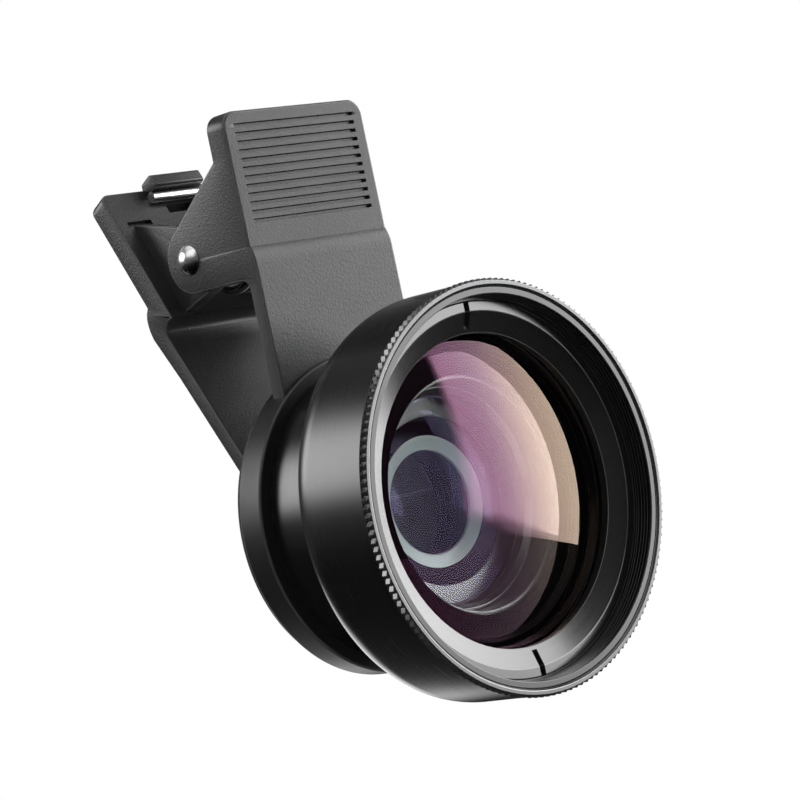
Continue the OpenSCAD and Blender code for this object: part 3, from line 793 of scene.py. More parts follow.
@dataclass
class Slab:
    """A bent plate between two chains of points, with a rounded border.

    Row k of the plate has a front and a rear point at its border, a vector out of the border
    and one into the wall at each face. The face is flat across X at each row. The rounding
    between face and wall is F + out r sin a + in r (1 - cos a) for a from 0 to 90 degrees.
    """

    front: Array
    rear: Array
    out: Array
    into: Array
    back: Array
    rounding: float

    def side(self, points: Array, inward: Array) -> tuple[Array, Array]:
        """Rounded border of one face.

        Args:
            points: (rows, 3) border of the face, at positive X.
            inward: (rows, 3) vectors into the wall.

        Returns:
            A (rows, steps, 3) grid and its edge weights.
        """
        a = np.linspace(0, np.pi / 2, FILLET_STEPS + 1)[None, :, None]
        xyz = (points[:, None] + self.out[:, None] * self.rounding * np.sin(a)
               + inward[:, None] * self.rounding * (1 - np.cos(a)))
        return xyz, np.sin(2 * a[..., 0]) ** 0.5

    def border(self) -> list[Patch]:
        """Returns the rounded borders and walls of both sides."""
        front, edge = self.side(self.front, self.into)
        rear, _ = self.side(self.rear, self.back)
        chain = np.concatenate([front, rear[:, ::-1]], axis=1)
        weight = np.concatenate([edge, edge[:, ::-1]], axis=1)
        half = grid(chain, weight)
        return [half, mirrored(half)]

    def lid(self, front_row: Array, rear_row: Array, row: int) -> Patch:
        """Closes the plate at a row whose border points straight out of its end.

        Args:
            front_row: (columns, 3) last row of the front face.
            rear_row: (columns, 3) last row of the rear face.
            row: the row's place in the chains.

        Returns:
            The rounded end.
        """
        a = np.linspace(0, np.pi / 2, FILLET_STEPS + 1)[:, None, None]
        r = self.rounding
        out = self.out[row] * [0, 1, 1]
        front = front_row[None] + out * r * np.sin(a) + self.into[row] * r * (1 - np.cos(a))
        rear = rear_row[None] + out * r * np.sin(a) + self.back[row] * r * (1 - np.cos(a))
        edge = np.sin(2 * a[..., 0]) ** 0.5
        return grid(np.concatenate([front, rear[::-1]]), np.concatenate([edge, edge[::-1]]))


@dataclass
class FrontArm:
    """The clip's front arm: thumb plate, shoulder, lower plate and two ears."""

    half: float = 12.4
    top: float = 54.2
    thumb_front: float = -4.05
    thumb_rear: float = -0.55
    plate_front: float = -4.7
    plate_rear: float = -2.6
    step_low: float = 34.3
    shoulder_fall: float = 0.9
    step_top: float = 36.6
    web_low: float = 35.8
    web_high: float = 40.0
    corner: float = 2.2
    rounding: float = 0.32
    ear_inner: float = 10.0
    ear_radius: float = 4.4
    ear_start: float = 48.3
    ear_fillet: float = 1.5
    ear_rounding: float = 0.25
    seat_radius: float = 20.3
    first_groove: float = 52.3

    def front_y(self, z: Array) -> Array:
        """Front face's Y at height z: flat, a parabola over the shoulder, flat again."""
        t = np.clip((z - self.step_low) / (self.step_top - self.step_low), 0.0, 1.0)
        recess = self.thumb_front - self.plate_front
        return self.thumb_front - recess * np.where(t < 1.0, 1.0 - self.shoulder_fall * t * t, 0.0)

    def rear_y(self, z: Array) -> Array:
        """Rear face's Y between the ears at height z."""
        return np.interp(z, [self.web_low, self.web_high], [self.plate_rear, self.thumb_rear])

    def heights(self) -> tuple[Array, Array, Array]:
        """Matched rows of the front face, the rear face between the ears, and the ears' rim.

        Returns:
            Heights of the front rows, heights of the rear rows, and the rim in Y and Z.
        """
        grooves = Grooves()
        floor = PIVOT[1] - self.ear_radius
        start = np.array([self.thumb_rear, self.ear_start])
        tip, slope = touch(start, PIVOT, self.ear_radius, 1)
        low = floor - self.ear_fillet
        base = self.plate_rear + self.ear_fillet
        nose = arc(PIVOT, self.ear_radius, self.ear_radius, -90,
                   math.degrees(slope) + 90, 26)[1:]
        step = 90.0 / 15
        shoulder = self.step_low + (self.step_top - self.step_low) * np.sin(
            np.radians(step * np.arange(0, 16)))
        shoulder[-2] = self.step_top - 0.02
        plain = np.array([33.9, 36.63, 36.7, 36.85, 37.2, 37.7, 38.2, 38.7, 39.2, 39.4])
        nose_z = np.sort(np.r_[shoulder, plain])
        rows = np.sort(self.first_groove - (grooves.rows(0.0)))
        rows = rows[(rows > nose_z[-1] + 0.02) & (rows < self.top - self.corner)]
        upper = np.unique(np.r_[rows, self.ear_start, self.top - self.corner])
        below = upper[upper <= self.ear_start]
        above = upper[upper > self.ear_start]
        share = ((below - nose_z[-1]) / (self.ear_start - nose_z[-1]))[:, None]
        rim = np.concatenate([
            np.c_[np.full(9, self.plate_rear), np.linspace(17.0, low, 9)],
            arc((base, low), self.ear_fillet, self.ear_fillet, 180, 90, 6)[1:],
            line((base, floor), (PIVOT[0], floor), 6)[1:],
            nose, tip * (1 - share) + start * share,
            np.c_[np.full(len(above), self.thumb_rear), above]])
        front = np.concatenate([np.linspace(17.0, low, 9), np.linspace(low, floor, 7)[1:],
                                np.linspace(floor, 33.8, 7)[1:], nose_z, below, above])
        web = np.concatenate([np.linspace(17.0, low, 9), np.linspace(low, 31.7, 7)[1:],
                              np.linspace(31.7, 32.6, 7)[1:],
                              np.linspace(32.6, 41.0, len(nose_z) + 1)[1:],
                              41.0 + (self.ear_start - 41.0) * share[:, 0], above])
        return front, web, rim

    def corner_rows(self) -> Array:
        """Returns the angles of the rows round the upper corners."""
        inner = self.corner - self.rounding
        low = self.first_groove - (self.top - self.corner) + Grooves().offsets()
        early = np.arcsin(np.clip(low[low > 0.01] / inner, 0, 1))
        return np.r_[early, np.linspace(early[-1] + 0.12, np.pi / 2, 10)]

    def columns(self) -> Array:
        """Returns places across the plate from 0 to the border's face."""
        face = self.half - self.rounding
        return np.unique(np.r_[0.0, 2.5, 5.0, 7.5, 9.3, self.ear_inner, Grooves().columns(),
                               11.5, face - 0.1, face])

    def build(self) -> list[Patch]:
        """Returns the arm's patches."""
        r = self.rounding
        face = self.half - r
        front_z, web_z, rim = self.heights()
        turn = self.corner_rows()
        inner = self.corner - r
        crown = self.top - self.corner
        top_z = crown + inner * np.sin(turn)
        n, m = len(front_z), len(turn)
        front_all = np.r_[front_z, top_z]
        web_all = np.r_[web_z, top_z]
        half = np.r_[np.full(n, face), self.half - self.corner + inner * np.cos(turn)]
        rim_all = np.vstack([rim, np.c_[np.full(m, self.thumb_rear), top_z]])
        out = np.zeros((n + m, 3))
        out[:n, 0] = 1.0
        out[n:, 0] = np.cos(turn)
        out[n:, 2] = np.sin(turn)
        into = np.zeros((n + m, 3))
        into[:, 1] = 1.0
        rim_normal = chain_normals(rim_all)
        back = np.c_[np.zeros(n + m), -rim_normal]
        back[n - 2:] = [0, -1, 0]
        front_side = np.c_[half, self.front_y(front_all), front_all]
        rear_side = np.c_[half, rim_all]
        low = 9
        side_low = math.sqrt(self.seat_radius**2 - face**2)
        fall = (front_all[:low] - 17.0) / (front_all[low - 1] - 17.0)
        drop_z = side_low + fall * (front_all[low - 1] - side_low)
        front_side[:low, 2] = drop_z
        rear_side[:low, 2] = drop_z
        slab = Slab(front_side, rear_side, out, into, back, r)
        cols = self.columns()
        cols = np.r_[-cols[:0:-1], cols]
        scaled = cols[None, :] * (half / face)[:, None]
        seat = np.sqrt(self.seat_radius**2 - np.minimum(np.abs(cols), face) ** 2)
        z_front = np.repeat(front_all[:, None], len(cols), 1)
        z_front[:low] = seat + fall[:, None] * (front_all[low - 1] - seat)
        sink = Grooves().sink(scaled, self.first_groove - z_front, 0.0)
        front_face = np.stack([scaled, self.front_y(front_all)[:, None] + sink, z_front], -1)
        mid = np.abs(cols) <= self.ear_inner + 1e-6
        x_mid = cols[mid]
        z_mid = np.repeat(web_all[:, None], len(x_mid), 1)
        z_mid[:low] = z_front[:low][:, mid]
        rear_mid = np.stack([np.repeat(x_mid[None], n + m, 0),
                             self.rear_y(web_all)[:, None] + 0 * z_mid, z_mid], -1)
        lobe = self.ear_weight(len(front_z), m, rim)
        rounding = self.ear_rounding * lobe
        wide = cols[cols >= self.ear_inner - 1e-6]
        share = (wide - self.ear_inner) / (face - self.ear_inner)
        x_rim = (self.ear_inner + rounding)[:, None] * (1 - share) + half[:, None] * share
        z_rim = np.repeat(rim_all[:, 1:], len(wide), 1)
        z_rim[:low] = z_front[:low][:, cols >= self.ear_inner - 1e-6]
        rear_rim = np.stack([x_rim, np.repeat(rim_all[:, :1], len(wide), 1), z_rim], -1)
        rim_grid = grid(rear_rim)
        patches = slab.border() + [grid(front_face), grid(rear_mid), rim_grid, mirrored(rim_grid)]
        rear_row = np.concatenate([rear_rim[-1, :0:-1] * [-1, 1, 1], rear_mid[-1, :],
                                   rear_rim[-1, 1:]])
        patches.append(slab.lid(front_face[-1], rear_row, n + m - 1))
        patches += self.inner_faces(rim_all, rear_mid, back, rounding, low - 1, n)
        return patches + self.foot(front_side[0], rear_side[0], slab, front_face[0],
                                   np.concatenate([rear_rim[0, :0:-1] * [-1, 1, 1],
                                                   rear_mid[0], rear_rim[0, 1:]]))

    def ear_weight(self, n: int, m: int, rim: Array) -> Array:
        """Returns 1 along the ears' rim, easing to 0 where the rim meets the plate."""
        rise = smoothstep(np.arange(n, dtype=float), 8.0, 15.0)
        fall = 1.0 - smoothstep(rim[:, 1], self.ear_start - 1.2, self.ear_start)
        return np.r_[rise * fall, np.zeros(m)]

    def inner_faces(self, rim: Array, mid: Array, back: Array, rounding: Array,
                    first: int, last: int) -> list[Patch]:
        """Inner faces of the ears, from the plate between them out to the rim.

        Args:
            rim: rim in Y and Z.
            mid: grid of the rear face between the ears.
            back: vectors from the rim into the ear.
            rounding: rounding of the rim's inner edge at each row.
            first: first row of the ears.
            last: row past their last.

        Returns:
            The two faces.
        """
        a = np.linspace(0, np.pi / 2, FILLET_STEPS + 1)[None, :]
        r = rounding[first:last, None]
        x = self.ear_inner + r * (1 - np.sin(a))
        yz = rim[first:last, None] + back[first:last, None, 1:] * (r * (1 - np.cos(a)))[..., None]
        curve = np.concatenate([x[..., None], yz], -1)
        web = mid[first:last, -1:]
        whole = np.concatenate([curve, web], axis=1)
        edge = np.r_[np.sin(2 * a[0]) ** 0.5, 0.0][None, :]
        half = grid(whole, edge)
        return [half, mirrored(half)]

    def foot(self, front: Array, rear: Array, slab: Slab, front_row: Array,
             rear_row: Array) -> list[Patch]:
        """Closes the lower end, which lies inside the ring."""
        a = np.linspace(0, np.pi / 2, FILLET_STEPS + 1)[:, None]
        r = slab.rounding
        side = np.concatenate([front + slab.out[0] * r * np.sin(a)
                               + slab.into[0] * r * (1 - np.cos(a)),
                               (rear + slab.out[0] * r * np.sin(a)
                                + slab.back[0] * r * (1 - np.cos(a)))[::-1]])
        middle = grid(np.stack([front_row, rear_row]))
        cap = fan(side)
        return [middle, cap, mirrored(cap)]


@dataclass
class ClipFront:
    """The front half of the clip: arm, lens ring, its rubber face and the rivet."""

    ring_radius: float = 21.0
    ring_front: float = 5.4
    pad: float = 1.2
    lip: float = 0.7
    bore: float = 18.05
    window: float = 11.5
    chamfer: float = 0.3
    head_radius: float = 2.0
    head_height: float = 1.1
    shank_radius: float = 1.5
    shank_reach: float = 12.42

    def arm(self) -> bpy.types.Object:
        """Returns the front arm."""
        return make_mesh("front_arm_skin", FrontArm().build())

    def ring(self) -> bpy.types.Object:
        """Returns the lens ring: an L section with thread grooves in its bore."""
        back = self.pad + 0.02
        lip = self.pad + self.lip
        thread = ridges(self.bore, lip + 0.5, self.ring_front - 0.5, 4, 0.38)[::-1]
        points = [[self.window, back], [self.ring_radius, back],
                  [self.ring_radius, self.ring_front], [self.bore, self.ring_front],
                  *thread, [self.bore, lip], [self.window, lip]]
        radii = [0.1, 0.35, 0.32, 0.15] + [0.05] * len(thread) + [0.05, 0.1]
        return make_mesh("lens_ring_skin", [turned(points, radii)])

    def rubber(self) -> bpy.types.Object:
        """Returns the ring's rubber face, with softly rounded edges."""
        outer = self.ring_radius - self.lip
        points = [[self.window, 0.0], [outer, 0.0], [outer, self.pad], [self.window, self.pad]]
        return make_mesh("front_pad_skin", [turned(points, [0.4, 0.4, 0.05, 0.05])])

    def rivet(self) -> bpy.types.Object:
        """Returns the rivet: a shank between two heads that are parts of a sphere."""
        head, rise = self.head_radius, self.head_height
        sphere = (head * head + rise * rise) / (2 * rise)
        x = head * np.sin(np.radians(np.linspace(0, 90, 17)))
        crown = rise - sphere + np.sqrt(sphere**2 - x**2)
        dome = np.c_[x, self.shank_reach + crown]
        lip = np.array([[head - 0.06, self.shank_reach - 0.02],
                        [self.shank_radius, self.shank_reach - 0.02]])
        half = np.vstack([dome, lip])
        outline = np.vstack([half, half[::-1] * [1, -1]])
        edge = np.zeros(len(outline))
        return make_mesh("pivot_pin_skin",
                         [revolve(outline, edge, Turn.RIVET, segments=64, closed=False)])

    def build(self) -> None:
        """Builds and dresses the four pieces."""
        mount(self.arm(), CLIP_PLASTIC, Body.FRONT, ["front_arm"])
        mount(self.ring(), RING_PLASTIC, Body.FRONT, ["lens_ring"])
        mount(self.rubber(), PAD_RUBBER, Body.FRONT, ["front_pad"])
        mount(self.rivet(), RIVET_STEEL, Body.FRONT, ["pivot_pin"])


@dataclass
class Plate:
    """Places on the rear thumb plate, by the distance down it and the distance inwards off it."""

    lean: float = 27.3
    gap: float = 8.25
    rise: float = 17.6

    def axes(self) -> tuple[Array, Array]:
        """Returns the unit vectors down the plate and out of its back, in Y and Z."""
        a = math.radians(self.lean)
        return np.array([-math.sin(a), -math.cos(a)]), np.array([math.cos(a), -math.sin(a)])

    def at(self, down: Array | float, off: Array | float) -> Array:
        """Returns points in Y and Z for a distance down the plate and one inwards off it."""
        down_axis, out_axis = self.axes()
        top = PIVOT + self.gap * out_axis - self.rise * down_axis
        down, off = np.broadcast_arrays(np.asarray(down, float), np.asarray(off, float))
        return top + down[..., None] * down_axis - off[..., None] * out_axis


@dataclass
class Spring:
    """The torsion spring: a coil on the rivet with a leg and a bar at each end."""

    wire: float = 0.75
    coil_radius: float = 4.6
    coil_half: float = 5.5
    turns: int = 6
    bar_half: float = 4.8
    bend: float = 1.5
    sides: int = 20

    def ends(self) -> tuple[Array, Array, float, float]:
        """Returns the two bars in Y and Z, and the angles of the two legs."""
        front = np.array([0.23, 47.5])
        rear = Plate().at(1.95, self.wire + 0.03)
        _, front_leg = touch(front, PIVOT, self.coil_radius, -1)
        _, rear_leg = touch(rear, PIVOT, self.coil_radius, 1)
        return front, rear, front_leg, rear_leg

    def tube(self, path: Array, first: Array) -> list[Patch]:
        """Round wire along a path.

        The section's first axis is given, the second is the path's direction crossed with it,
        and a fan closes each end.

        Args:
            path: (n, 3) points.
            first: (n, 3) or (3,) first axis of each section.

        Returns:
            The wire's patches.
        """
        along = unit(np.gradient(path, axis=0))
        first = np.broadcast_to(first, path.shape)
        first = unit(first - (first * along).sum(1, keepdims=True) * along)
        second = np.cross(along, first)
        a = np.linspace(0, 2 * np.pi, self.sides, endpoint=False)
        ring = (first[:, None] * np.cos(a)[None, :, None]
                + second[:, None] * np.sin(a)[None, :, None])
        xyz = path[:, None] + self.wire * ring
        return [grid(xyz, close_v=True), fan(xyz[0]), fan(xyz[-1])]

    def coil(self) -> tuple[Array, Array]:
        """Returns the coil's path and its outward directions: a helix along X."""
        _, _, front_leg, rear_leg = self.ends()
        start = front_leg + math.radians(270)
        sweep = (rear_leg + math.radians(90) - start) % (2 * math.pi)
        u = np.linspace(0, 1, self.turns * 48 + 16)
        a = start + (2 * math.pi * self.turns + sweep) * u
        out = np.c_[np.zeros_like(a), np.cos(a), np.sin(a)]
        path = np.c_[-self.coil_half + 2 * self.coil_half * u,
                     PIVOT[0] + self.coil_radius * out[:, 1],
                     PIVOT[1] + self.coil_radius * out[:, 2]]
        return path, out

    def leg(self, bar: Array, angle: float, side: int, meet: Array) -> Array:
        """Path from the bar's free end, round the bend and down the leg to the coil.

        Args:
            bar: bar in Y and Z.
            angle: direction of the leg.
            side: -1 for the leg at negative X, 1 for the other.
            meet: the coil's end point.

        Returns:
            The path.
        """
        a = np.radians(np.linspace(0, 90, 13))
        run = self.bend * (1 - np.cos(a))
        curve = np.c_[side * (self.coil_half - self.bend * (1 - np.sin(a))),
                      bar[0] + run * math.cos(angle), bar[1] + run * math.sin(angle)]
        tip = np.array([-side * self.bar_half, bar[0], bar[1]])
        return np.vstack([line(tip, curve[0], 8)[:-1], curve, line(curve[-1], meet, 8)[1:]])

    def build(self) -> None:
        """Builds the coil, which is attached to no body, and the two legs, which ride."""
        front, rear, front_leg, rear_leg = self.ends()
        path, out = self.coil()
        coil = make_mesh("spring_coil", self.tube(path, out))
        coil.data.materials.append(SPRING_STEEL.material())
        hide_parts("torsion_spring")
        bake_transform(coil)
        LOG.info("spring_coil: %d faces", len(coil.data.polygons))
        for name, bar, angle, side, end, body in (
                ("spring_front_leg", front, front_leg, -1, 0, Body.FRONT),
                ("spring_rear_leg", rear, rear_leg, 1, -1, Body.REAR)):
            piece = make_mesh(name, self.tube(self.leg(bar, angle, side, path[end]), out[end]))
            mount(piece, SPRING_STEEL, body, ["torsion_spring"])


@dataclass
class RearArm:
    """The clip's rear arm: leaning thumb plate, jaw, round foot, ears and spring hook."""

    half: float = 12.4
    thickness: float = 3.1
    length: float = 20.8
    corner: float = 1.5
    rounding: float = 0.3
    foot_inner: float = 1.5
    foot_outer: float = 3.5
    foot_centre: float = -0.4
    first_groove: float = 2.6
    slot_half: float = 2.4
    slot_low: float = 2.9
    slot_high: float = 4.2
    notch_low: float = 4.9
    notch_high: float = 5.7
    notch_width: float = 0.9
    notch_depth: float = 0.6
    ear_inner: float = 7.15
    ear_outer: float = 9.55
    ear_radius: float = 4.0
    hook_half: float = 4.4
    top_easing: float = 0.6
    top_easing_length: float = 1.2

    def chains(self) -> tuple[Array, Array, Array]:
        """Matched inner and outer rows from below the upper corners down to the foot.

        Returns:
            The inner chain, the outer chain, and the distance down the plate of each row.
        """
        plate = Plate()
        even = 15.2
        grooves = Grooves().rows(self.first_groove)
        thin = 0.02
        marks = [self.slot_low, self.slot_high, self.notch_low, self.notch_low + thin,
                 self.notch_high, self.notch_high + thin, self.corner, even]
        down = np.unique(np.round(np.r_[grooves, marks], 4))
        down = down[(down >= self.corner) & (down <= even)]
        near = np.linspace(even, self.length, 9)[1:]
        far = np.linspace(even, self.length - 3.9, 9)[1:]
        kink = plate.at(self.length, 0.0)
        elbow = np.array([[18.72, 31.75], [18.90, 31.0], [18.88, 30.2], [18.75, 29.3],
                          [18.36, 28.17]])
        inner = [plate.at(np.r_[down, near], 0.0),
                 arc(kink + [0, -1.9], 1.7, 1.9, 78, 0, 4),
                 line((15.46, 28.22), (1.91, 4.28), 14)[1:],
                 arc((3.62, 3.3 - 0.6), 2.12, 2.1, 137, 180, 5)[1:],
                 line((self.foot_inner, 2.7), (self.foot_inner, self.foot_centre), 4)[1:]]
        jaw = np.vstack([line((18.36, 28.17), (14.67, 22.35), 4)[1:],
                         line((14.67, 22.35), (3.66, 3.29), 10)[1:]])
        outer = [plate.at(np.r_[down, far], -self.thickness), elbow, jaw,
                 arc((4.2, 2.7), 0.7, 0.75, 128, 180, 5)[1:],
                 line((self.foot_outer, 2.7), (self.foot_outer, self.foot_centre), 4)[1:]]
        inner_all, outer_all = np.vstack(inner), np.vstack(outer)
        travel = np.r_[down, near, np.full(len(inner_all) - len(down) - len(near), 99.0)]
        return inner_all, outer_all, travel

    def columns(self) -> Array:
        """Returns places across the plate from 0 to the border's face."""
        thin = 0.02
        face = self.half - self.rounding
        n = self.notch_width
        marks = [0.0, self.slot_half, 4.5, self.ear_inner - n, self.ear_inner - n + thin,
                 self.ear_inner, self.ear_outer, self.ear_outer + n - thin, self.ear_outer + n,
                 11.4, face - 0.1, face]
        return np.unique(np.round(np.r_[marks, Grooves().columns()], 4))

    def slab(self) -> tuple[Slab, Array, Array, Array, Array]:
        """Rows of the whole arm, with round upper corners and a round foot.

        Round the corners the border is centre + (R - r)(cos a, sin a), and round the foot
        the same with R the foot's radius. The outer face falls away by a parabola at the top.

        Returns:
            The slab, the half width of each row, the inner and outer chains, and the
            distance down the plate.
        """
        plate = Plate()
        down_axis, out_axis = plate.axes()
        inner, outer, travel = self.chains()
        r = self.rounding
        top = np.radians(np.r_[90:0:-10])
        top_down = self.corner - (self.corner - r) * np.sin(top)
        foot = np.radians(np.linspace(0, 90, 25)[1:])
        foot_z = self.foot_centre - (self.half - r) * np.sin(foot)
        n, t, f = len(inner), len(top), len(foot)
        inner = np.vstack([plate.at(top_down, 0.0), inner,
                           np.c_[np.full(f, self.foot_inner), foot_z]])
        easing = self.top_easing * np.maximum(1 - top_down / self.top_easing_length, 0) ** 2
        outer = np.vstack([plate.at(top_down, easing - self.thickness), outer,
                           np.c_[np.full(f, self.foot_outer), foot_z]])
        half = np.r_[self.half - self.corner + (self.corner - r) * np.cos(top),
                     np.full(n, self.half - r), (self.half - r) * np.cos(foot)]
        half[-1] = 0.0
        out = np.zeros((t + n + f, 3))
        out[:, 0] = 1.0
        out[:t, 0] = np.cos(top)
        out[:t, 1:] = -down_axis * np.sin(top)[:, None]
        out[t + n:, 0] = np.cos(foot)
        out[t + n:, 2] = -np.sin(foot)
        into = np.c_[np.zeros(len(inner)), -chain_normals(inner)]
        back = np.c_[np.zeros(len(inner)), chain_normals(outer)]
        into[:t + 2, 1:] = out_axis
        back[:t + 2, 1:] = -out_axis
        into[t + n - 1:, 1:] = [1.0, 0.0]
        back[t + n - 1:, 1:] = [-1.0, 0.0]
        slab = Slab(np.c_[half, inner], np.c_[half, outer], out, into, back, r)
        return slab, half, inner, outer, np.r_[top_down, travel, np.full(f, 99.0)]

    def plate_and_jaw(self) -> list[Patch]:
        """Returns the plate, the jaw and the foot, with the slot right through the plate."""
        slab, half, inner, outer, travel = self.slab()
        cols = self.columns()
        cols = np.r_[-cols[:0:-1], cols]
        face = self.half - self.rounding
        x = cols[None, :] * (half / face)[:, None]
        down = travel[:, None] + 0 * x
        side = np.abs(x)
        _, out_axis = Plate().axes()
        beside = (((side > self.ear_inner - self.notch_width + 0.01) & (side < self.ear_inner + 0.01))
                  | ((side > self.ear_outer - 0.01)
                     & (side < self.ear_outer + self.notch_width - 0.01)))
        notch = beside & (down > self.notch_low + 0.01) & (down < self.notch_high + 0.01)
        inner_sink = self.notch_depth * notch
        sink = Grooves().sink(x, down, self.first_groove) * (down < 90)
        inner_face = np.concatenate([x[..., None], inner[:, None]
                                     + inner_sink[..., None] * out_axis], -1)
        outer_face = np.concatenate([x[..., None], outer[:, None]
                                     - sink[..., None] * out_axis], -1)
        mid_x = (side[:-1, :-1] + side[1:, 1:]) / 2 < self.slot_half
        mid_s = (down[:-1, :-1] + down[1:, 1:]) / 2
        hole = mid_x & (mid_s > self.slot_low) & (mid_s < self.slot_high)
        patches = slab.border() + [grid(inner_face, keep=~hole), grid(outer_face, keep=~hole)]
        patches.append(slab.lid(inner_face[0], outer_face[0], 0))
        return patches + [self.slot_walls(inner_face, outer_face, travel, cols)]

    def slot_walls(self, inner: Array, outer: Array, travel: Array, cols: Array) -> Patch:
        """Walls of the slot, between its border on the inner face and on the outer face."""
        rows = np.flatnonzero((travel > self.slot_low - 0.001) & (travel < self.slot_high + 0.001))
        wide = np.flatnonzero(np.abs(cols) < self.slot_half + 0.001)
        i = np.r_[np.full(len(wide), rows[0]), rows[1:-1], np.full(len(wide), rows[-1]),
                  rows[-2:0:-1]]
        j = np.r_[wide, np.full(len(rows) - 2, wide[-1]), wide[::-1],
                  np.full(len(rows) - 2, wide[0])]
        return grid(np.stack([inner[i, j], outer[i, j]]), close_v=True)

    def ears(self) -> list[Patch]:
        """Returns the two ears that carry the rivet."""
        plate = Plate()
        high, low = plate.at(5.5, 0.0), plate.at(self.length - 0.6, 0.0)
        _, up = touch(high, PIVOT, self.ear_radius, -1)
        _, under = touch(low, PIVOT, self.ear_radius, 1)
        a0 = (math.degrees(up) + 630) % 360
        a1 = (math.degrees(under) + 450) % 360
        nose = arc(PIVOT, self.ear_radius, self.ear_radius, a0, a1, 30)
        outline = np.vstack([plate.at(self.length - 0.6, -0.8), plate.at(5.5, -0.8),
                             line(high, nose[0], 6), nose[1:], line(nose[-1], low, 6)[1:]])
        ear = prism(outline, self.ear_inner, self.ear_outer, 0.25, along_x)
        return ear + [mirrored(p) for p in ear]

    def hook(self) -> list[Patch]:
        """Returns the hook over the spring's bar."""
        plate = Plate()
        corners = plate.at([-0.15, -0.9, -0.9, -0.6, 0.9, 1.12, 1.12],
                           [-0.5, -0.1, 2.0, 2.4, 2.4, 2.1, -0.5])
        outline, _ = eased(corners, [0.05, 0.2, 0.3, 0.3, 0.3, 0.2, 0.05])
        return prism(outline, -self.hook_half, self.hook_half, 0.22, along_x)

    def build(self) -> None:
        """Builds the arm and its rubber pad."""
        patches = self.plate_and_jaw() + self.ears() + self.hook()
        mount(make_mesh("rear_arm_skin", patches), CLIP_PLASTIC, Body.REAR,
              ["rear_arm"])
        radius, cut = 11.0, 0.7
        low = math.degrees(math.asin(cut / radius))
        rim = arc((0, 0), radius, radius, 180 - low, 360 + low, 64)
        pad = prism(rim, 0.3, 1.48, 0.3, along_y)
        mount(make_mesh("rear_pad_skin", pad), PAD_RUBBER, Body.REAR, ["rear_pad"])


def cap_outline(clear: float, base: float, rise: float, steps: int = 24) -> Array:
    """A spherical face from the axis out to a radius.

    The height over its rim is R' - R + |rise| with R' = sqrt(R^2 - x^2) and
    R = (clear^2 + rise^2) / (2 |rise|), and it takes the sign of rise.

    Args:
        clear: radius of the face.
        base: distance of its rim.
        rise: height of its middle over its rim.
        steps: number of steps.

    Returns:
        Radius and distance, from the axis outwards.
    """
    x = np.linspace(0, clear, steps + 1)
    sphere = (clear**2 + rise**2) / (2 * abs(rise))
    height = np.sqrt(sphere**2 - x**2) - sphere + abs(rise)
    return np.c_[x, base + np.sign(rise) * height]


def lens(name: str, radius: float, back: float, front: float, back_clear: float,
         back_rise: float, front_clear: float, front_rise: float) -> bpy.types.Object:
    """A lens: a ground edge with a bevel, and a spherical face at each end.

    Args:
        name: name of the piece.
        radius: radius of the glass.
        back: rear distance of its edge.
        front: front distance of its edge.
        back_clear: radius of the rear face.
        back_rise: how far the rear face stands out rearwards, or in if negative.
        front_clear: radius of the front face.
        front_rise: how far the front face stands out.

    Returns:
        The piece.
    """
    bevel = 0.12
    rear = cap_outline(back_clear, back, -back_rise)
    head = cap_outline(front_clear, front, front_rise)[::-1]
    rim = np.array([[radius - bevel, back], [radius, back + bevel],
                    [radius, front - bevel], [radius - bevel, front]])
    outline = np.vstack([rear, rim, head])
    edge = np.r_[np.zeros(len(rear)), np.ones(4), np.zeros(len(head))]
    return make_mesh(name, [revolve(outline, edge, segments=192, closed=False)])


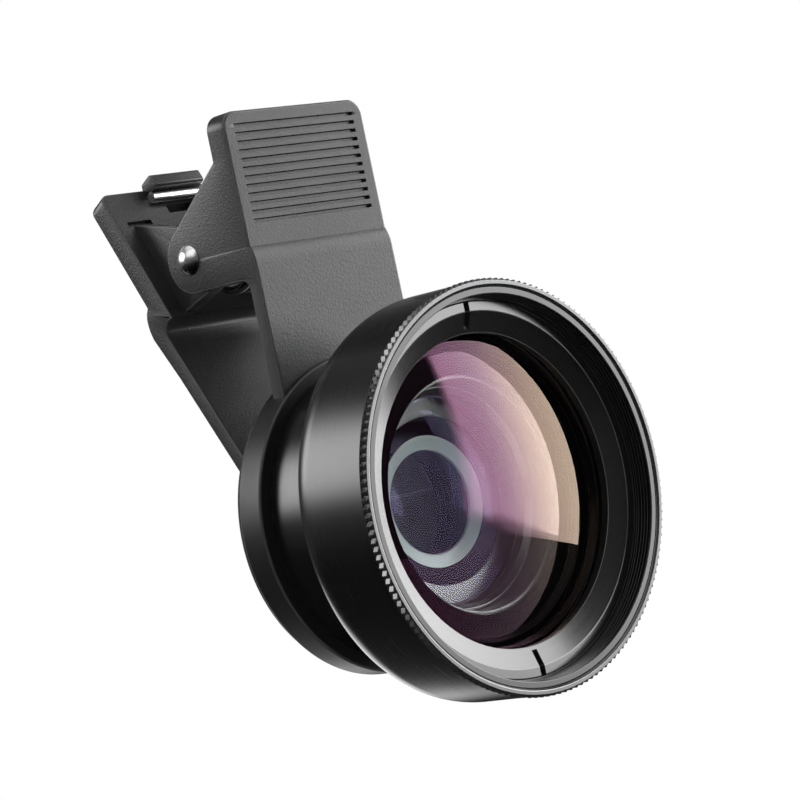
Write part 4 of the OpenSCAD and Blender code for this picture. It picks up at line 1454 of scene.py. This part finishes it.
@dataclass
class MacroLens:
    """The macro lens: its barrel with two threads, glass, spacer tube and retaining ring."""

    body: float = 19.3
    flange: float = 5.45
    front: float = 20.2
    tail_radius: float = 18.0
    tail: float = 2.0
    socket: float = 16.55
    socket_floor: float = 14.2
    cell: float = 10.6
    lip: float = 3.3
    window: float = 9.25
    glass: float = 10.55

    def barrel(self) -> bpy.types.Object:
        """Returns the barrel."""
        tail = ridges(self.tail_radius, self.tail + 0.5, self.flange - 0.5, 4, -0.38)
        bore = ridges(self.socket, self.socket_floor + 0.5, self.front - 0.5, 5, 0.38)[::-1]
        points = [[self.window, self.tail], [self.tail_radius, self.tail], *tail,
                  [self.tail_radius, self.flange], [self.body, self.flange],
                  [self.body, self.front], [self.socket, self.front], *bore,
                  [self.socket, self.socket_floor], [self.cell, self.socket_floor],
                  [self.cell, self.lip], [self.window, self.lip]]
        radii = ([0.1, 0.3] + [0.05] * len(tail) + [0.05, 0.35, 0.3, 0.1]
                 + [0.05] * len(bore) + [0.05, 0.2, 0.05, 0.1])
        return make_mesh("macro_barrel_skin", [turned(points, radii)])

    def build(self) -> None:
        """Builds and dresses the four pieces."""
        mount(self.barrel(), BARREL_BLACK, Body.MACRO, ["macro_barrel"])
        glass = lens("macro_lens_skin", self.glass, self.lip + 0.02, 4.9, 9.15, 0.9, 9.15, 3.2)
        mount(glass, MACRO_GLASS, Body.MACRO, ["macro_lens"])
        spacer = [[self.window, 4.92], [self.glass, 4.92], [self.glass, 12.18],
                  *ridges(self.window, 5.2, 12.0, 9, 0.3)[::-1], ]
        spacer.insert(3, [self.window, 12.18])
        mount(make_mesh("macro_spacer_skin", [turned(spacer, 0.05)]), MATTE_BLACK, Body.MACRO,
              ["macro_spacer"])
        ring = [[8.3, 12.2], [self.glass, 12.2], [self.glass, 14.1], [self.glass - 0.3, 14.1],
                [8.3, 13.34]]
        mount(make_mesh("macro_ring_skin", [turned(ring, [0.1, 0.05, 0.1, 0.1, 0.12])]),
              MATTE_BLACK, Body.MACRO, ["macro_ring"])
        lip = [[6.5, 12.3], [8.28, 12.3], [8.28, 13.2], [6.5, 12.75]]
        mount(make_mesh("macro_ring_lip", [turned(lip, [0.1, 0.05, 0.15, 0.15])]),
              BARE_RING, Body.MACRO, ["macro_ring"])


@dataclass
class WideLens:
    """The wide-angle lens: barrel, knurled rim, front and rear glass and their rings."""

    radius: float = 26.0
    rear: float = 17.1
    flare_depth: float = 1.6
    flare_length: float = 3.4
    front: float = 30.6
    nose_front: float = 30.3
    nose: float = 25.1
    filter: float = 24.2
    ring_face: float = 27.7
    ring_back: float = 25.6
    ring_outer: float = 23.77
    opening: float = 19.87
    seat: float = 22.7
    glass: float = 22.6
    cavity: float = 20.5
    cavity_floor: float = 21.2
    tail: float = 16.5
    tail_bore: float = 14.6
    tail_end: float = 14.4
    rear_glass: float = 14.5
    teeth: int = 160
    tooth_depth: float = 0.35
    slot_half: float = 0.45
    slot_depth: float = 1.05

    def barrel(self) -> bpy.types.Object:
        """Returns the barrel: rounded rear edge, front bore with thread, cavity and tail."""
        flare = arc((self.radius - self.flare_depth, self.rear + self.flare_length),
                    self.flare_depth, self.flare_length, -84, 0, 12).tolist()
        thread = ridges(self.filter, 28.0, 30.05, 4, 0.38)[::-1]
        tail = ridges(self.tail, self.tail_end + 0.5, 19.75, 5, -0.38)
        points = [[19.4, self.rear], [self.radius - self.flare_depth, self.rear], *flare,
                  [self.radius, 29.55], [self.nose, 29.55], [self.nose, self.nose_front],
                  [self.filter, self.nose_front], *thread, [self.filter, self.ring_face],
                  [23.82, self.ring_face], [23.82, 25.3], [self.seat, 25.3],
                  [self.seat, 22.7], [self.cavity, 22.7], [self.cavity, self.cavity_floor],
                  [self.tail_bore, self.cavity_floor], [self.tail_bore, 15.15], [13.3, 15.15],
                  [13.3, self.tail_end], [self.tail, self.tail_end], *tail,
                  [self.tail, 20.25], [19.4, 20.25]]
        radii = ([0.2, 0.1] + [0.0] * len(flare) + [0.12, 0.05, 0.12, 0.12]
                 + [0.04] * len(thread) + [0.05, 0.05, 0.05, 0.05, 0.05, 0.1, 0.2, 0.3, 0.05, 0.05,
                                           0.05, 0.3]
                 + [0.05] * len(tail) + [0.05, 0.1])
        return make_mesh("wide_barrel_skin", [turned(points, radii)])

    def rim(self) -> bpy.types.Object:
        """Returns the knurled rim: its radius falls by a sawtooth of equal flanks round it."""
        tip = self.radius + 0.2
        bore = self.nose + 0.02
        per_tooth = 6
        points = [[bore, 29.65], [tip, 29.65], [tip, 30.4], [tip - 0.35, self.front],
                  [bore + 0.25, self.front], [bore, 30.35]]
        outline, edge = eased(points, [0.03, 0.05, 0.05, 0.04, 0.06, 0.05])
        count = self.teeth * per_tooth
        t = np.linspace(0, 2 * np.pi, count, endpoint=False)[None, :]
        wave = np.abs((t * self.teeth / (2 * np.pi)) % 1.0 - 0.5) * 2
        outer = smoothstep(outline[:, :1], tip - self.tooth_depth - 0.05, tip - 0.02)
        return make_mesh("front_rim_skin", [revolve(outline, edge, theta=t + 0 * outline[:, :1],
                                                    swell=-self.tooth_depth * wave * outer)])

    def retaining_ring(self) -> bpy.types.Object:
        """Returns the front retaining ring: a flat, a funnel, and two slots cut square in it.

        A column beside a slot lies at a fixed distance x from the slot's middle, so its angle
        is asin(x / r) from it at each radius r.
        """
        flat = self.ring_outer - 1.25
        low = self.opening + 0.6
        steps = np.array([1.0, 0.84, 0.68, 0.52, 0.36, 0.2])[:, None]
        slope = (steps * [flat, self.ring_face]
                 + (1 - steps) * [self.opening, self.ring_face - 1.0]).tolist()
        points = [[self.opening, self.ring_back], [self.ring_outer, self.ring_back],
                  [self.ring_outer, self.ring_face], *slope,
                  [self.opening, self.ring_face - 1.0]]
        outline, edge = eased(points, [0.05, 0.05, 0.12, 0.1, 0, 0, 0, 0, 0, 0.1])
        thin = 0.02
        offset = np.array([-2.0, -1.0, -0.5 - thin, -0.5, -0.2, 0.2, 0.5, 0.5 + thin, 1.0, 2.0])
        offset = offset * 2 * self.slot_half
        r = outline[:, :1]
        slot = np.arcsin(offset[None] / r)
        rest = np.linspace(np.arcsin(offset[-1] / self.opening) + 0.03,
                           np.pi - np.arcsin(offset[-1] / self.opening) - 0.03, 100)
        rest = rest[None] + 0 * r
        theta = np.concatenate([np.pi / 2 + slot, np.pi / 2 + rest, 1.5 * np.pi + slot,
                                1.5 * np.pi + rest], axis=1)
        cut = np.r_[(np.abs(offset) <= self.slot_half + 1e-6), np.zeros(100, bool)]
        cut = np.r_[cut, cut][None]
        face = (outline[:, 1:] > self.ring_back + 0.6) & (r > low) & (r < self.ring_outer + 1)
        floor = self.ring_face - self.slot_depth
        lift = np.where(cut & face, np.minimum(floor - outline[:, 1:], 0.0), 0.0)
        return make_mesh("retaining_ring_skin",
                         [revolve(outline, edge, theta=theta, lift=lift)])

    def rear_ring(self) -> bpy.types.Object:
        """Returns the ring that holds the rear glass."""
        back = 17.27
        points = [[13.6, back], [14.5, back], [14.5, back + 0.9], [14.2, back + 0.9]]
        return make_mesh("rear_lens_ring_skin", [turned(points, 0.08)])

    def baffle(self) -> bpy.types.Object:
        """Returns the matte liner on the cavity's floor and wall, with fine steps in its floor."""
        low, wall = 21.56, 0.45
        inner, outer = 15.2, 20.48
        steps = np.linspace(outer - wall, inner + 0.2, 9)
        height = low + wall + (steps - inner) / (outer - wall - inner) * 0.65
        ribs = np.stack([np.repeat(steps, 2)[1:-1], np.repeat(height, 2)[:-2]], -1)
        points = [[inner, low], [outer, low], [outer, 22.6], [outer - wall, 22.6], *ribs.tolist(),
                  [inner, low + wall]]
        return make_mesh("cavity_baffle_skin", [turned(points, 0.05)])

    def build(self) -> None:
        """Builds and dresses the pieces, apart from the two seals, which keep their mesh."""
        for obj, finish, slot, node in (
                (self.barrel(), BARREL_BLACK, "barrel_black", "wide_barrel"),
                (self.rim(), RIM_BRIGHT, "rim_bright", "front_rim"),
                (self.retaining_ring(), RING_BLACK, "ring_black", "retaining_ring"),
                (self.rear_ring(), RING_BLACK, "ring_black", "rear_lens_ring"),
                (self.baffle(), MATTE_BLACK, "matte_black", "cavity_baffle")):
            mount(obj, finish, Body.WIDE, [node])
        front = lens("front_lens_skin", self.glass, 22.72, 25.2, 20.14, -3.1, self.opening, 2.3)
        mount(front, FRONT_GLASS, Body.WIDE, ["front_lens"])
        rear = lens("rear_lens_skin", self.rear_glass, 15.55, 17.25, 12.4, 0.2, 13.3, 2.6)
        mount(rear, REAR_GLASS, Body.WIDE, ["rear_lens"])


@dataclass(frozen=True)
class SoftBox:
    """A soft lamp far away: a bright four-sided panel in the surroundings with soft edges.

    Its sides are places on a plane at distance 1 across its direction. Azimuth 0 is -Y, the
    way the lens looks, and 90 is +X.
    """

    azimuth: float
    height: float
    left: float
    right: float
    low: float
    high: float
    strength: float
    soft: float = 0.1
    lean: float = 0.0
    tilt: float = 0.0

    def axes(self) -> tuple[Array, Array, Array]:
        """Returns the directions to the panel, to its right and upwards across it."""
        a, e = math.radians(self.azimuth), math.radians(self.height)
        to = np.array([math.sin(a) * math.cos(e), -math.cos(a) * math.cos(e), math.sin(e)])
        right = np.array([math.cos(a), math.sin(a), 0.0])
        return to, right, np.cross(right, to)

    def glow(self, graph: Graph, way: bpy.types.NodeSocket) -> bpy.types.NodeSocket:
        """The panel's light in a direction: full inside its sides, easing to 0 past them.

        A direction meets the panel's plane at its part along each side over its part towards
        the panel. Lean shifts the left and right sides with height, tilt the low and high
        sides with width.

        Args:
            graph: tree of the surroundings or of a card.
            way: the direction's socket.

        Returns:
            The light's socket.
        """
        to, right, up = self.axes()
        ahead = graph.dot(way, tuple(to))
        safe = graph.math("MAXIMUM", ahead, 0.02)
        u = graph.math("DIVIDE", graph.dot(way, tuple(right)), safe)
        v = graph.math("DIVIDE", graph.dot(way, tuple(up)), safe)
        across = graph.math("MULTIPLY_ADD", v, self.lean, u)
        upward = graph.math("MULTIPLY_ADD", u, self.tilt, v)
        lit = graph.span(ahead, 0.02, 0.1, 0.0, self.strength)
        for place, start, end in ((across, self.left, self.right), (upward, self.low, self.high)):
            lit = graph.math("MULTIPLY", lit, graph.span(place, start - self.soft, start + self.soft))
            lit = graph.math("MULTIPLY", lit,
                             graph.span(place, end - self.soft, end + self.soft, 1.0, 0.0))
        return lit


@dataclass(frozen=True)
class PhotoCamera:
    """The photograph's camera, as found from the lens's circles and the clip's edges."""

    azimuth: float = 44.14
    height: float = -0.48
    roll: float = 11.89
    focal_pixels: float = 2900.0
    distance: float = 379.9
    origin_x: float = 361.9
    origin_y: float = 514.3
    sensor: float = 36.0

    def build(self) -> None:
        """Places the camera so that the lens axis's rear end is seen at the given pixel."""
        a, e, c = (math.radians(v) for v in (self.azimuth, self.height, self.roll))
        toward = np.array([-math.sin(a) * math.cos(e), -math.cos(a) * math.cos(e), math.sin(e)])
        level = np.array([math.cos(a), -math.sin(a), 0.0])
        over = np.cross(toward, level)
        right = math.cos(c) * level - math.sin(c) * over
        up = math.sin(c) * level + math.cos(c) * over
        middle = IMAGE_SIZE / 2
        shift_x = (self.origin_x - middle) / self.focal_pixels * self.distance
        shift_y = -(self.origin_y - middle) / self.focal_pixels * self.distance
        place = self.distance * toward - shift_x * right - shift_y * up + [0.0, -1.2, 0.0]
        data = bpy.data.cameras.new("photo_camera")
        data.sensor_width = self.sensor
        data.lens = self.focal_pixels * self.sensor / IMAGE_SIZE
        data.clip_start = 0.01
        data.clip_end = 20.0
        obj = bpy.data.objects.new("photo_camera", data)
        turn = Matrix(np.c_[right, up, toward].tolist())
        obj.matrix_world = Matrix.Translation(Vector(place * MM)) @ turn.to_4x4()
        bpy.context.scene.collection.objects.link(obj)
        bpy.context.scene.camera = obj


@dataclass
class Studio:
    """A plain pale floor, a white backdrop, soft lamps far away and a black card below.

    The card is the photographer's: only reflections see it, and it keeps the black pieces
    black from below, apart from the panel of light set into it.
    """

    ambient: float = 0.08
    floor_drop: float = 0.2
    floor_half: float = 0.9
    floor_colour: float = 0.85
    floor_top_up: float = 0.2
    card_drop: float = 0.19
    card_half: float = 0.95
    backdrop_azimuth: float = 136.0
    backdrop_reach: float = 0.85
    backdrop_top: float = 0.1
    backdrop_foot: float = -0.08

    def lamps(self) -> list[SoftBox]:
        """Returns the key lamp at the front right, the strip at the back left, and a fill."""
        return [SoftBox(70, 14, -0.597, 0.62, -0.352, 0.5, 6.0, 0.03, 0.35, -0.22),
                SoftBox(-147, 24, -0.36, 0.36, -0.17, 0.24, 5.6, 0.1),
                SoftBox(-75, 45, -0.5, 0.5, -0.4, 0.4, 1.1, 0.2),
                SoftBox(90, 80, -0.8, 0.8, -0.6, 0.6, 0.9, 0.3)]

    def under_light(self) -> SoftBox:
        """Returns the panel of light in the card below."""
        return SoftBox(150, -33, -0.12, 0.5, -0.42, 0.1, 2.4, 0.1)

    def surroundings(self) -> None:
        """Builds the world.

        Cameras see it white, and so does what passes through glass without a reflection.
        Reflections see it white where the backdrop stands behind the object, and elsewhere
        the dim room with its lamps, which is also what lights the object.
        """
        world = bpy.data.worlds.new("studio_world")
        world.use_nodes = True
        graph = Graph(world.node_tree)
        way = graph.node("ShaderNodeTexCoord").outputs["Generated"]
        light: object = self.ambient
        for lamp in self.lamps():
            light = graph.math("ADD", lamp.glow(graph, way), light)
        path = graph.node("ShaderNodeLightPath")
        a = math.radians(self.backdrop_azimuth)
        behind = graph.span(graph.dot(way, (math.sin(a), -math.cos(a), 0.0)),
                            self.backdrop_reach, self.backdrop_reach + 0.1)
        rise = graph.dot(way, (0.0, 0.0, 1.0))
        below_top = graph.span(rise, self.backdrop_top, self.backdrop_top + 0.1, 1.0, 0.0)
        above_foot = graph.span(rise, self.backdrop_foot, self.backdrop_foot + 0.05)
        backdrop = graph.math("MULTIPLY", graph.math("MULTIPLY", behind, below_top), above_foot)
        mirrored_backdrop = graph.math("MULTIPLY", path.outputs["Is Glossy Ray"], backdrop)
        unreflected = graph.math("LESS_THAN", path.outputs["Glossy Depth"], 0.5)
        through = graph.math("MULTIPLY", path.outputs["Is Transmission Ray"], unreflected)
        direct = graph.math("MAXIMUM", path.outputs["Is Camera Ray"], through)
        seen = graph.math("MAXIMUM", direct, mirrored_backdrop)
        white = (1.0, 1.0, 1.0, 1.0)
        lit = graph.node("ShaderNodeBackground")
        graph.put(lit.inputs["Color"], white)
        graph.put(lit.inputs["Strength"], light)
        paper = graph.node("ShaderNodeBackground")
        graph.put(paper.inputs["Color"], white)
        graph.put(paper.inputs["Strength"], 1.0)
        mix = graph.node("ShaderNodeMixShader")
        graph.put(mix.inputs[0], seen)
        graph.put(mix.inputs[1], lit.outputs[0])
        graph.put(mix.inputs[2], paper.outputs[0])
        graph.put(graph.node("ShaderNodeOutputWorld").inputs["Surface"], mix.outputs[0])
        bpy.context.scene.world = world

    def sheet(self, name: str, half: float, height: float) -> tuple[bpy.types.Object, Graph]:
        """A level square of the studio, with an empty material.

        Args:
            name: name of the sheet.
            half: half its width in metres.
            height: its Z in metres.

        Returns:
            The sheet and its material's tree.
        """
        x = np.array([-half, half])
        xy = np.stack(np.meshgrid(x, x, indexing="ij"), -1)
        patch = grid(np.concatenate([xy, np.full((2, 2, 1), height)], -1))
        mesh = bpy.data.meshes.new(name)
        mesh.from_pydata(patch.points.tolist(), [], patch.faces.tolist())
        mesh.update()
        obj = bpy.data.objects.new(name, mesh)
        bpy.context.scene.collection.objects.link(obj)
        material = bpy.data.materials.new(name + "_finish")
        material.use_nodes = True
        mesh.materials.append(material)
        return obj, Graph(material.node_tree)

    def floor(self) -> None:
        """Builds the floor: pale, and topped up to white where it is seen directly."""
        _, graph = self.sheet("studio_floor", self.floor_half, -self.floor_drop)
        matte = graph.node("ShaderNodeBsdfDiffuse")
        graph.put(matte.inputs["Color"], (*[self.floor_colour] * 3, 1.0))
        path = graph.node("ShaderNodeLightPath")
        seen = graph.math("MAXIMUM", path.outputs["Is Camera Ray"],
                          path.outputs["Is Transmission Ray"])
        glow = graph.node("ShaderNodeEmission")
        graph.put(glow.inputs["Strength"], graph.math("MULTIPLY", seen, self.floor_top_up))
        both = graph.node("ShaderNodeAddShader")
        graph.put(both.inputs[0], matte.outputs[0])
        graph.put(both.inputs[1], glow.outputs[0])
        graph.surface(both.outputs[0])

    def card(self) -> None:
        """Builds the black card with its panel of light, which only reflections see."""
        obj, graph = self.sheet("studio_card", self.card_half, -self.card_drop)
        way = graph.node("ShaderNodeVectorMath", operation="NORMALIZE")
        graph.put(way.inputs[0], graph.position())
        glow = graph.node("ShaderNodeEmission")
        graph.put(glow.inputs["Strength"], self.under_light().glow(graph, way.outputs[0]))
        graph.surface(glow.outputs[0])
        obj.visible_camera = False
        obj.visible_diffuse = False
        obj.visible_transmission = False
        obj.visible_shadow = False

    def build(self) -> None:
        """Builds the surroundings, the floor, the card and the plain view transform."""
        self.surroundings()
        self.floor()
        self.card()
        bpy.context.scene.view_settings.view_transform = "Standard"


def main() -> None:
    """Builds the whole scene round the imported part."""
    logging.basicConfig(level=logging.INFO, format="%(name)s %(message)s")
    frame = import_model()
    nodes = frame["nodes"]
    PhotoCamera().build()
    Studio().build()
    ClipFront().build()
    Spring().build()
    RearArm().build()
    MacroLens().build()
    WideLens().build()
    for node in ("front_seal", "rear_lens_seal"):
        refinish(nodes, node, SEAL_RUBBER)


if __name__ == "__main__":
    main()
